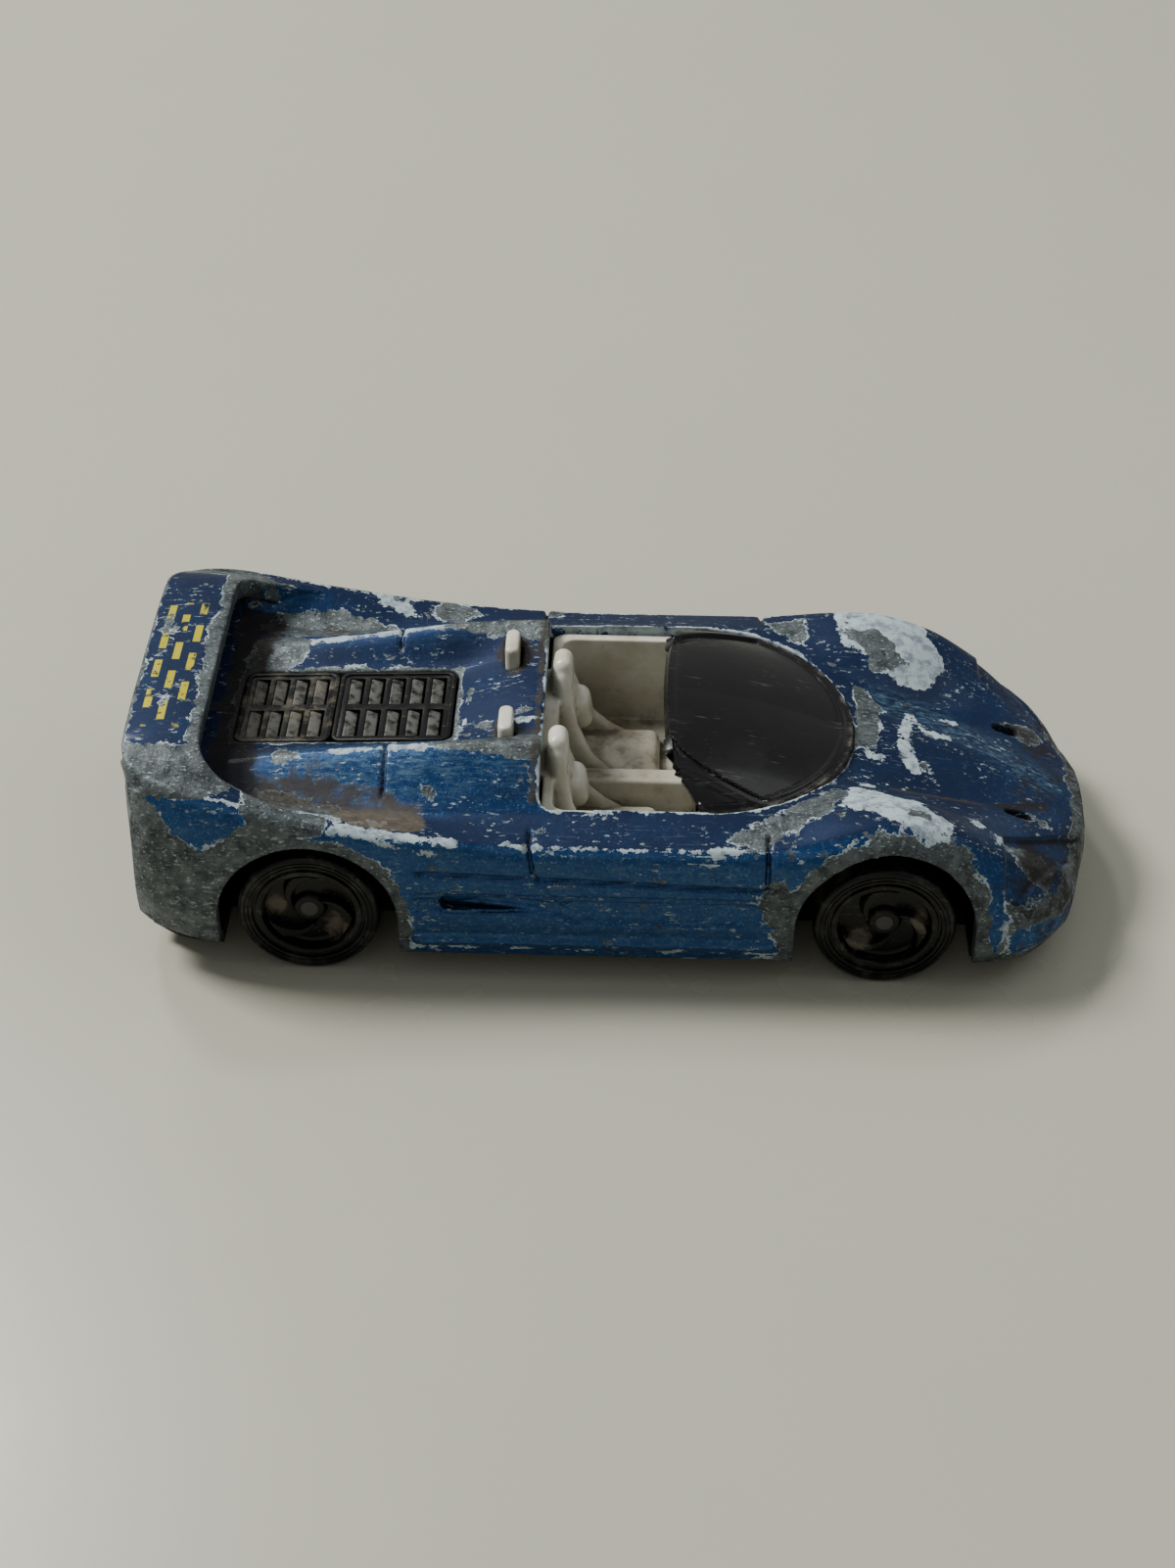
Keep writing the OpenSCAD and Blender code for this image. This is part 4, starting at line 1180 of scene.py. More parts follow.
# --- windscreen
@dataclass
class Windscreen:
    """The dark moulded screen that fans down from its header."""

    d: Datums
    thickness: float = 0.8
    header_rise: float = 3.1

    def surface(self, u: Array, v: Array) -> Array:
        """Places points of the outer face.

        Args:
            u: Share of the way from the header to the foot.
            v: Share of the way from the right pillar to the left one.

        Returns:
            Rows of millimetres.
        """
        d = self.d
        t = 2 * v - 1
        q = t * np.pi / 2
        b = d.cabin_half - d.seat_gap
        a = d.cabin_front - d.seat_gap - d.screen_side
        foot = np.stack([d.screen_side + a * np.cos(q), b * np.sin(q), d.arch_top + 0.4 + 0.6 * np.abs(np.sin(q))], 1)
        head = np.stack([d.front_x - 15.5 + 0.6 * t * t, 0.72 * b * t,
                         d.arch_top + 0.9 + self.header_rise - 1.1 * t * t], 1)
        p = head + (foot - head) * u[:, None]
        p[:, 2] += 0.5 * np.sin(np.pi * u) * (1 - 0.6 * t * t)
        reach = np.linalg.norm(foot - head, axis=1)
        from_foot, from_head = (1 - u) * reach, u * reach

        def bead(at: Array, width: float) -> Array:
            """A rounded bead of the given half width."""
            return np.sqrt(np.clip(1 - (at / width) ** 2, 0, 1))
        pillar = (np.abs(t) - (0.965 - 0.235 * u)) * (3.0 + 13.0 * u)
        inside = smoothstep(0.7, 0.95, from_foot) * smoothstep(0.4, 0.7, from_head)
        sink = -0.2 - 0.1 * inside * (1 - bead(pillar, 0.6))
        sink += 0.1 * bead(from_foot - 0.75, 0.3) * (np.abs(t) < 0.985)
        sink -= 0.05 * bead(from_foot - 0.36, 0.2)
        sink += 0.06 * bead(from_head - 0.4, 0.4)
        sink += 0.3 * bead(pillar, 0.36) * smoothstep(0.0, 0.25, from_foot)
        sink -= 0.3 * bead(pillar + 0.62, 0.26) * smoothstep(0.4, 0.8, from_foot) * smoothstep(0.0, 0.3, from_head)
        p[:, 2] += np.minimum(sink, 0.0) * np.where((u > 0.002) & (u < 0.998), 1, 0.6)
        return p

    def build(self) -> Piece:
        """Models the screen.

        Returns:
            The finished screen.
        """
        screen = sheet_grid("screen", 110, 300, self.surface)
        face_up(screen)
        apply_modifier(screen, "SOLIDIFY", thickness=(self.thickness - 0.15) * MM, offset=-1)
        ease_edges(screen, 0.09)
        shade_by_angle(screen, 42)
        p = points_of(screen)
        rim = [*cabin_outline(self.d, self.d.seat_gap, self.d.cabin_front)]
        paint(screen, "grime", np.clip(1 - near_path(p, [*rim, rim[0]], PLAN) / 1.2, 0, 1))
        return screen


# --- seat tub
@dataclass
class SeatTub:
    """The pale tray with two seats, the tunnel and two lugs through the deck."""

    d: Datums
    wall: float = 0.8
    voxel: float = 0.14
    triangles: int = 110000

    @property
    def floor(self) -> float:
        """Height of the tray's floor."""
        return self.d.sill_z - 0.5 + 1.1 + 1.8

    @property
    def rim(self) -> float:
        """Height of the tray's rim."""
        return self.d.arch_top + 0.35

    def seat(self, y: float) -> list[Piece]:
        """Models one bucket seat.

        Args:
            y: Middle of the seat.

        Returns:
            Its rounded solids.
        """
        back, low, top = self.d.cabin_rear + 1.6, self.floor, self.rim + 0.4

        def pad(name: str, spots: Points) -> Piece:
            """Wraps balls [x, y, z, r] in one rounded pad."""
            return hull_of(name, [ball(name, (back + s[0], y + s[1], s[2]), (s[3],) * 3, 10) for s in spots])
        return [
            pad("back", [(0, -1.9, low + 1, 0.8), (0, 1.9, low + 1, 0.8), (-0.4, -1.5, top - 0.9, 0.8),
                         (-0.4, 1.5, top - 0.9, 0.8)]),
            pad("headrest", [(-0.5, -0.95, top + 0.1, 0.8), (-0.5, 0.95, top + 0.1, 0.8),
                             (-0.5, -0.55, top + 1.4, 0.75), (-0.5, 0.55, top + 1.4, 0.75)]),
            pad("lobe", [(0.7, -0.7, top - 2.0, 0.85), (0.7, 0.7, top - 2.0, 0.85), (0.9, -0.5, top - 3.1, 0.85),
                         (0.9, 0.5, top - 3.1, 0.85)]),
            *[self.run("bolster", [(back + q[0], y + side * q[1], q[2], q[3]) for q in (
                (-0.5, 1.1, top + 0.8, 0.6), (-0.3, 1.9, top - 0.9, 0.6), (0.2, 2.5, top - 2.6, 0.55),
                (1.4, 2.8, low + 2.6, 0.5), (2.6, 2.9, low + 1.4, 0.5), (3.8, 3.0, low + 0.6, 0.5))], low)
              for side in (-1, 1)],
            pad("cushion", [(0, -2.6, low + 0.2, 0.9), (0, 2.6, low + 0.2, 0.9), (6.0, -2.4, low + 0.5, 0.8),
                            (6.0, 2.4, low + 0.5, 0.8)]),
        ]

    @staticmethod
    def run(name: str, spots: Points, low: float) -> Piece:
        """Strings a rounded wall between balls [x, y, z, r], down to a height."""
        links = [hull_of(name, [ball(name, (s[0] - drop * 0.2, s[1], max(s[2] - drop, low)), (s[3],) * 3, 8)
                                for s in pair for drop in (0, 3.0)]) for pair in zip(spots, spots[1:])]
        return join(name, links)

    def build(self) -> Piece:
        """Models the tub.

        Returns:
            The finished tub.
        """
        d = self.d
        front = d.cabin_front - 2.5
        tray = prism("tub", cabin_outline(d, d.seat_gap, front), self.floor - self.wall, self.rim)
        cut(tray, [prism("hollow", cabin_outline(d, d.seat_gap + self.wall, front - self.wall), self.floor, 30),
                   box_piece("open_front", (d.screen_side - 0.4, -20, d.arch_top - 1.3), (40, 20, 30))])
        parts = [tray]
        for s in (-1, 1):
            parts += self.seat(s * d.cabin_half * 0.42)
            parts.append(prism("lug", stadium(d.rear_x + 13.4, s * 4.85, 3, 1.05), d.arch_top - 0.3, d.arch_top + 4.1))
            parts.append(box_piece("rail", (d.cabin_rear + 3, s * 7 - 0.5, 2.5), (d.cabin_rear + 17, s * 7 + 0.5, 4.5)))
        tunnel = [box_piece("tunnel", (d.cabin_rear + 0.5, -1.1, self.floor - 0.2), (front - 1, 1.1, self.floor + 1.4)),
                  box_piece("tunnel", (d.cabin_rear + 0.5, -0.8, self.floor), (front - 4.5, 0.8, self.floor + 2.6))]
        parts.append(hull_of("tunnel", tunnel))
        parts.append(box_piece("ledge", (d.rear_x + 12.3, -6.6, d.arch_top - 0.3),
                               (d.cabin_rear + 0.4, 6.6, d.arch_top + 0.4)))
        parts.append(hull_of("dash", [ball("dash", (d.screen_side + 1.5, s * (d.cabin_half - 2.4), d.arch_top - 3.4),
                                           (1.6, 1.6, 1.6), 12) for s in (-1, 1)]))
        for x, y, r in ((4.6, -6.3, 0.55), (5.9, -5.2, 0.4), (3.8, -4.7, 0.35), (5.4, -7.6, 0.5)):
            parts.append(ball("lump", (x, y, self.floor + 0.2), (r * 1.3, r, r), 8))
        tub = join("tub", parts)
        melt(tub, self.voxel, 4)
        thin(tub, self.triangles)
        p, n = points_of(tub), normals_of(tub)
        bend = bend_of(tub)
        # The grime share is painted shade low in the tub and in hollows, less on raised edges, together with dirt on
        # upward faces.
        deep = 1 - smoothstep(self.floor + 2.4, self.rim - 1.2, p[:, 2])
        grime = 0.28 * deep + np.clip(-bend * 0.45, 0, 0.45) + 0.1 * (n[:, 2] > 0.7) * deep
        paint(tub, "grime", np.clip(grime - np.clip(bend * 0.35, 0, 0.35), 0, 1))
        return tub


# --- louvre panels
class Deck(Enum):
    """The two louvre panels, as start, end and rows behind and ahead of the rear axle."""

    FRONT = (0.8, 9.35, 5)
    REAR = (-6.2, 0.7, 4)


@dataclass
class LouvrePanel:
    """A black insert with two columns of slanted slats."""

    d: Datums
    deck: Deck
    half: float = 4.3
    tilt: float = 2.2

    def build(self, name: str) -> Piece:
        """Models one panel.

        Args:
            name: The piece's name.

        Returns:
            The finished panel.
        """
        x0, x1, rows = self.deck.value
        length = x1 - x0
        plate = prism(name, rounded_rect(0, length, self.half, 0.75), -1.1, -0.12)
        lip = prism("lip", rounded_rect(0, length, self.half, 0.75), -0.3, 0)
        cut(lip, [prism("lip_in", rounded_rect(0.32, length - 0.32, self.half - 0.32, 0.5), -1, 1)])
        pitch = (length - 1) / rows
        slots, slats = [], []
        for i in range(rows):
            for s in (-1, 1):
                x = 0.5 + pitch * (i + 0.5)
                y = s * 1.98
                slots.append(box_piece("slot", (x - pitch * 0.36, y - 1.62, -0.95), (x + pitch * 0.36, y + 1.62, 0.5)))
                slat = box_piece("slat", (-pitch * 0.3, y - 1.6, -0.16), (pitch * 0.3, y + 1.6, 0.16), 0.12, 3)
                q = points_of(slat)
                a = math.radians(20)
                q = np.column_stack([x - pitch * 0.08 + q[:, 0] * math.cos(a) + q[:, 2] * math.sin(a), q[:, 1],
                                     q[:, 2] * math.cos(a) - q[:, 0] * math.sin(a) - 0.42])
                set_points(slat, q)
                slats.append(slat)
        cut(plate, slots)
        for part in (plate, lip):
            ease_edges(part, 0.06)
            paint(part, "slat", np.zeros(len(part.data.vertices)))
        for slat in slats:
            paint(slat, "slat", np.ones(len(slat.data.vertices)))
        panel = join(name, [plate, lip, *slats])
        p = points_of(panel)
        a = math.radians(self.tilt)
        z0 = self.d.arch_top + 0.95 + 0.04 * (x0 + 6.3)
        set_points(panel, np.column_stack([
            self.d.rear_x + x0 + p[:, 0] * math.cos(a) - p[:, 2] * math.sin(a), p[:, 1],
            z0 + p[:, 0] * math.sin(a) + p[:, 2] * math.cos(a)]))
        shade_by_angle(panel, 35)
        dust = 0.12 if self.deck is Deck.FRONT else 0.34
        paint(panel, "grime", np.full(len(p), dust))
        return panel


# --- wheels
class Corner(Enum):
    """The four wheels: node, body, dirt patches as [angle, radius, size] and side."""

    FRONT_LEFT = ("wheel_front_left", "front_wheelset", ((70, 2.4, 0.9), (250, 2.2, 0.8)), 1)
    FRONT_RIGHT = ("wheel_front_right", "front_wheelset", ((222, 2.3, 1.0), (5, 2.5, 0.8)), -1)
    REAR_LEFT = ("wheel_rear_left", "rear_wheelset", ((130, 2.4, 1.0), (310, 2.2, 0.7)), 1)
    REAR_RIGHT = ("wheel_rear_right", "rear_wheelset", ((318, 2.4, 1.1), (180, 2.4, 0.9)), -1)


@dataclass
class Wheel:
    """A one-piece black wheel with a grooved rim and a swirling dish."""

    d: Datums
    axle_r: float = 0.6
    hub_wall: float = 0.45
    rim_width: float = 1.8
    recess: float = 0.6
    dish: float = 1.05
    blades: int = 3
    swirl: float = 70

    def profile(self) -> Array:
        """Gives the closed profile as rows of radius and depth from the outer face."""
        r, w = self.d.wheel_r, self.d.wheel_out - self.d.wheel_in
        hub = self.axle_r + self.hub_wall
        corners = [
            (self.axle_r, -self.recess), (hub - 0.08, -self.recess), (hub, -self.recess - 0.05),
            (hub + 0.22, -self.dish), (r - 1.98, -self.dish), (r - 1.82, -self.dish + 0.1),
            (r - 1.72, -0.18), (r - 1.66, -0.08), (r - 1.36, -0.02), (r - 1.28, -0.04), (r - 1.22, -0.24),
            (r - 1.06, -0.24), (r - 1.0, -0.03), (r - 0.92, 0), (r - 0.84, -0.01), (r - 0.8, -0.1), (r - 0.74, -0.1),
            (r - 0.7, -0.01), (r - 0.56, 0), (r - 0.52, -0.08), (r - 0.46, -0.08), (r - 0.42, -0.01),
            (r - 0.3, -0.03), (r - 0.12, -0.12), (r - 0.03, -0.3), (r, -0.5), (r, -w * 0.5), (r, 0.5 - w),
            (r - 0.08, 0.2 - w), (r - 0.3, 0.02 - w), (r - 0.5, -w), (r - 1.2, -w), (r - 1.4, 0.4 - w),
            (hub + 0.6, 0.4 - w), (hub + 0.4, -w), (self.axle_r, -w)]
        out = []
        for a, b in zip(corners, corners[1:] + corners[:1]):
            n = max(1, int(math.dist(a, b) / 0.13))
            out += [[a[0] + (b[0] - a[0]) * i / n, a[1] + (b[1] - a[1]) * i / n] for i in range(n)]
        return np.array(out)

    def build(self) -> Piece:
        """Models the wheel with its outer face on y = 0 and facing +Y.

        Returns:
            The master wheel.
        """
        wheel = lathe("wheel", self.profile(), 216)
        p = points_of(wheel)
        r, a = np.hypot(p[:, 0], p[:, 2]), np.degrees(np.arctan2(-p[:, 2], p[:, 0]))
        hub, edge = self.axle_r + self.hub_wall, self.d.wheel_r - self.rim_width
        share = np.clip((r - hub) / (edge - hub), 0, 1)
        start = self.swirl * share
        width = 26 + 20 * share
        phase = np.mod(-a - start, 360 / self.blades)
        inside = np.minimum(phase, width - phase) * np.radians(1) * r
        crown = smoothstep(-0.02, 0.22, inside) * smoothstep(hub, hub + 0.25, r) * (1 - smoothstep(edge - 0.1, edge, r))
        floor = (p[:, 1] < -0.5) & (p[:, 1] > -self.dish - 0.05) & (r < edge + 0.05)
        p[:, 1] += np.where(floor, 0.72 * crown * (p[:, 1] < 0.14 - self.dish), 0)
        set_points(wheel, p)
        shade_by_angle(wheel, 40)
        return wheel

    def fit(self, master: Piece, corner: Corner) -> Piece:
        """Copies the master to one corner of the car.

        Args:
            master: The wheel made by build.
            corner: Where the copy goes.

        Returns:
            The copy, with its own mesh.
        """
        node, _, patches, side = corner.value
        activate(master)
        bpy.ops.object.duplicate(linked=False)
        piece = bpy.context.object
        piece.name = piece.data.name = node.replace("wheel", "tyre_wheel")
        p = points_of(piece)
        x0 = self.d.front_x if "front" in node else self.d.rear_x
        local = p * [side, side, 1]
        set_points(piece, local + [x0, side * self.d.wheel_out, self.d.axle_z])
        dirt = np.full(len(p), -1.0)
        for angle, radius, size in patches:
            turn = math.radians(angle)
            middle = np.array([radius * math.cos(turn), radius * math.sin(turn)])
            dirt = np.maximum(dirt, 1 - np.hypot(*(local[:, SIDE] - middle).T) / size)
        face = smoothstep(-1.4, -1.1, p[:, 1])
        paint(piece, "grime", np.clip(0.34 + 0.46 * dirt, 0, 1) * face)
        paint(piece, "rim", face * smoothstep(self.d.wheel_r - 1.9, self.d.wheel_r - 1.5, np.hypot(p[:, 0], p[:, 2])))
        return piece


# --- node graphs
Socket = bpy.types.NodeSocket
Colour = tuple[float, float, float]


class Graph:
    """Short calls for building one node tree."""

    def __init__(self, tree: bpy.types.NodeTree) -> None:
        """Keeps the tree that nodes are added to."""
        self.tree = tree

    def add(self, kind: str, **props: object) -> bpy.types.Node:
        """Adds a node and sets its properties."""
        node = self.tree.nodes.new(kind)
        for key, value in props.items():
            setattr(node, key, value)
        return node

    def put(self, socket: Socket, value: object) -> None:
        """Links a socket to an input, or writes a plain value into it.

        Args:
            socket: The input.
            value: A socket, a number, a colour or a vector.
        """
        if isinstance(value, bpy.types.NodeSocket):
            self.tree.links.new(value, socket)
        elif isinstance(value, tuple) and len(value) == 3 and socket.type == "RGBA":
            socket.default_value = (*value, 1.0)
        else:
            socket.default_value = value

    def node(self, kind: str, ins: dict[str | int, object], out: str | int = 0, **props: object) -> Socket:
        """Adds a node and fills its inputs.

        Args:
            kind: Blender's name of the node type.
            ins: Values or sockets by input.
            out: The output that is given back.
            **props: The node's properties.

        Returns:
            The output's socket.
        """
        node = self.add(kind, **props)
        for key, value in ins.items():
            self.put(node.inputs[key], value)
        return node.outputs[out]

    def math(self, op: str, a: object, b: object = 0.0, clamp: bool = False) -> Socket:
        """Calculates with two numbers."""
        return self.node("ShaderNodeMath", {0: a, 1: b}, operation=op, use_clamp=clamp)

    def times(self, *values: object) -> Socket:
        """Multiplies several numbers, from the left."""
        return functools.reduce(functools.partial(self.math, "MULTIPLY"), values)

    def total(self, *values: object) -> Socket:
        """Adds up several numbers, from the left."""
        return functools.reduce(functools.partial(self.math, "ADD"), values)

    def highest(self, *values: object) -> Socket:
        """The highest of several numbers."""
        return functools.reduce(functools.partial(self.math, "MAXIMUM"), values)

    def scaled(self, value: Socket, gain: float, shift: float = 0.0) -> Socket:
        """Multiplies a number and then shifts it."""
        return self.node("ShaderNodeMath", {0: value, 1: gain, 2: shift}, operation="MULTIPLY_ADD")

    def step(self, value: Socket, low: float, high: float) -> Socket:
        """A soft step from 0 at low to 1 at high, which may be the lower of the two."""
        ins = {"Value": value, "From Min": min(low, high), "From Max": max(low, high), "To Min": float(low > high),
               "To Max": float(low < high)}
        return self.node("ShaderNodeMapRange", ins, "Result", interpolation_type="SMOOTHSTEP")

    def mix(self, share: object, a: object, b: object) -> Socket:
        """Blends two colours."""
        return self.node("ShaderNodeMix", {0: share, 6: a, 7: b}, 2, data_type="RGBA")

    def blend(self, share: object, a: object, b: object) -> Socket:
        """Blends two numbers."""
        return self.node("ShaderNodeMix", {0: share, 2: a, 3: b}, data_type="FLOAT")

    def noise(self, at: Socket, size: float, detail: float = 4.0, rough: float = 0.6) -> Socket:
        """Cloudy noise with lumps of about the given size in millimetres."""
        ins = {"Vector": at, "Scale": 1 / size, "Detail": detail, "Roughness": rough}
        return self.node("ShaderNodeTexNoise", ins, "Fac")

    def cells(self, at: Socket, size: float, kind: str = "Distance") -> Socket:
        """Cells of about the given size: the distance to their middles, or a random colour."""
        return self.node("ShaderNodeTexVoronoi", {"Vector": at, "Scale": 1 / size}, kind)

    def stretch(self, at: Socket, factors: Colour, turn: Colour = (0.0, 0.0, 0.0)) -> Socket:
        """Turns and stretches coordinates."""
        return self.node("ShaderNodeMapping", {"Vector": at, "Rotation": turn, "Scale": factors})

    def field(self, name: str) -> Socket:
        """Reads one of the numbers stored on the mesh."""
        return self.node("ShaderNodeAttribute", {}, "Fac", attribute_name=name)

    def place(self) -> Socket:
        """The object's own coordinates in millimetres."""
        own = self.node("ShaderNodeTexCoord", {}, "Object")
        return self.node("ShaderNodeVectorMath", {0: own, "Scale": 1 / MM}, operation="SCALE")

    def bump(self, height: Socket, strength: float) -> Socket:
        """Turns a height in millimetres into a normal."""
        return self.node("ShaderNodeBump", {"Strength": strength, "Distance": MM, "Height": height})


class Effect(Enum):
    """Surface effects that several finishes share."""

    CHIPS = "Chipped edge"
    PITTING = "Pitted casting"
    # The grime group's patches are painted shade wherever its amount holds painted shade.
    GRIME = "Settled grime"
    SCRATCHES = "Fine scratches"
    GRAIN = "Moulded grain"


class Effects:
    """Builds each shared node group once."""

    def __init__(self) -> None:
        """Starts with no groups."""
        self.made: dict[Effect, bpy.types.NodeTree] = {}

    def tree(self, effect: Effect) -> bpy.types.NodeTree:
        """Gives the node group of an effect, building it at its first use."""
        if effect not in self.made:
            self.made[effect] = getattr(self, effect.name.lower())()
        return self.made[effect]

    def use(self, g: Graph, effect: Effect, **inputs: object) -> dict[str, Socket]:
        """Puts an effect into a tree.

        Args:
            g: The tree.
            effect: Which effect.
            **inputs: Values or sockets by input name, with _ for a space.

        Returns:
            The group's outputs by name.
        """
        node = g.add("ShaderNodeGroup", node_tree=self.tree(effect))
        for key, value in inputs.items():
            g.put(node.inputs[key.replace("_", " ")], value)
        return {out.name: out for out in node.outputs}

    @staticmethod
    def begin(effect: Effect, ins: dict[str, float], outs: Sequence[str]) -> tuple[Graph, dict[str, Socket], dict]:
        """Starts a group.

        Args:
            effect: The effect, whose value names the group.
            ins: Number inputs with their defaults; Place is always there.
            outs: Number outputs.

        Returns:
            The graph, and the sockets inside it by the names of the inputs and of the outputs.
        """
        g = Graph(bpy.data.node_groups.new(effect.value, "ShaderNodeTree"))
        sockets = g.tree.interface
        sockets.new_socket("Place", in_out="INPUT", socket_type="NodeSocketVector")
        for key, value in ins.items():
            sockets.new_socket(key, in_out="INPUT", socket_type="NodeSocketFloat").default_value = value
        for key in outs:
            sockets.new_socket(key, in_out="OUTPUT", socket_type="NodeSocketFloat")
        source, end = g.add("NodeGroupInput"), g.add("NodeGroupOutput")
        return g, {out.name: out for out in source.outputs}, {name: end.inputs[name] for name in outs}

    def chips(self) -> bpy.types.NodeTree:
        """Breaks up a signed distance into worn patches with a thin rim.

        Returns:
            The group's tree.
        """
        g, i, out = self.begin(Effect.CHIPS, {"Distance": 0.0, "Spread": 1.0, "Rim": 0.2}, ["Patch", "Rim"])
        at = i["Place"]
        rough = g.times(g.scaled(g.noise(at, 2.2, 5, 0.62), 2.6, -1.3), i["Spread"])
        fine = g.times(g.scaled(g.noise(at, 0.5, 4, 0.65), 1.1, -0.55), i["Spread"])
        edge = g.total(i["Distance"], rough, fine)
        g.put(out["Patch"], g.step(edge, -0.02, 0.03))
        g.put(out["Rim"], g.step(g.total(edge, g.times(i["Rim"], g.scaled(
            g.noise(at, 1.5, 4, 0.6), 8.0, -3.5))), -0.02, 0.03))
        return g.tree

    def pitting(self) -> bpy.types.NodeTree:
        """Pits and mottling of bare cast metal.

        Returns:
            The group's tree.
        """
        g, i, out = self.begin(Effect.PITTING, {"Size": 0.5}, ["Height", "Shade"])
        at = i["Place"]
        pits = g.step(g.cells(at, 0.55), 0.34, 0.1)
        mask = g.step(g.noise(at, 1.7, 3), 0.45, 0.62)
        fine = g.noise(at, 0.25, 5, 0.7)
        g.put(out["Height"], g.total(g.scaled(g.times(pits, mask), -0.05), g.scaled(fine, 0.07)))
        g.put(out["Shade"], g.times(g.step(g.noise(at, 1.1, 6, 0.7), 0.3, 0.7),
                                          g.scaled(g.times(pits, mask), -0.5, 1.0)))
        return g.tree

    def grime(self) -> bpy.types.NodeTree:
        """Dirt patches where an amount is high; where the amount holds painted shade, the patches are painted shade
        too.

        Returns:
            The group's tree.
        """
        g, i, out = self.begin(Effect.GRIME, {"Amount": 0.0}, ["Patch", "Tone", "Height"])
        at = i["Place"]
        cloud = g.noise(at, 1.5, 6, 0.68)
        specks = g.step(g.noise(at, 0.3, 2), 0.66, 0.74)
        level = g.total(i["Amount"], g.scaled(cloud, 1.3, -0.65))
        patch = g.highest(g.step(level, 0.28, 0.62), g.times(specks, g.step(level, 0.0, 0.3)))
        g.put(out["Patch"], patch)
        g.put(out["Tone"], g.noise(at, 0.8, 4))
        g.put(out["Height"], g.scaled(g.times(patch, g.noise(at, 0.18, 3)), 0.03))
        return g.tree

    def scratches(self) -> bpy.types.NodeTree:
        """Hairlines in three directions.

        Returns:
            The group's tree.
        """
        g, i, out = self.begin(Effect.SCRATCHES, {"Amount": 0.5}, ["Lines"])
        lines = None
        for turn in (0.35, -0.8, 1.5):
            at = g.stretch(i["Place"], (0.22, 6.5, 1.6), (0.2, 0.1, turn))
            line = g.times(g.step(g.noise(at, 1.0, 2, 0.5), 0.66, 0.72), g.step(
                g.noise(i["Place"], 3.0, 2), 0.48, 0.62))
            lines = line if lines is None else g.highest(lines, line)
        g.put(out["Lines"], g.times(lines, i["Amount"]))
        return g.tree

    def grain(self) -> bpy.types.NodeTree:
        """Faint unevenness of moulded plastic.

        Returns:
            The group's tree.
        """
        g, i, out = self.begin(Effect.GRAIN, {"Depth": 0.01}, ["Height", "Shade"])
        fine = g.noise(i["Place"], 0.16, 4, 0.65)
        broad = g.noise(i["Place"], 2.6, 3)
        g.put(out["Height"], g.times(g.total(fine, g.scaled(broad, 1.5)), i["Depth"]))
        g.put(out["Shade"], broad)
        return g.tree


# --- finishes
class Finish:
    """A material with its graph and Principled shader."""

    def __init__(self, name: str, effects: Effects) -> None:
        """Starts a material.

        Args:
            name: The material's name.
            effects: The shared node groups.
        """
        self.material = bpy.data.materials.new(name)
        self.material.use_nodes = True
        self.g = Graph(self.material.node_tree)
        self.shader = self.material.node_tree.nodes["Principled BSDF"]
        self.effects = effects
        self.at = self.g.place()

    def effect(self, effect: Effect, **inputs: object) -> dict[str, Socket]:
        """Places a shared effect on the piece's own coordinates, unless Place is given."""
        return self.effects.use(self.g, effect, **{"Place": self.at, **inputs})

    def plastic(self, grime: object, depth: float) -> tuple[dict[str, Socket], Socket, dict[str, Socket]]:
        """Places the grime, scratches and grain that every plastic has."""
        return (self.effect(Effect.GRIME, Amount=grime), self.effect(Effect.SCRATCHES, Amount=1.0)["Lines"],
                self.effect(Effect.GRAIN, Depth=depth))

    def set(self, **values: object) -> None:
        """Sets or links inputs of the shader, with _ for a space."""
        for key, value in values.items():
            self.g.put(self.shader.inputs[key.replace("_", " ")], value)


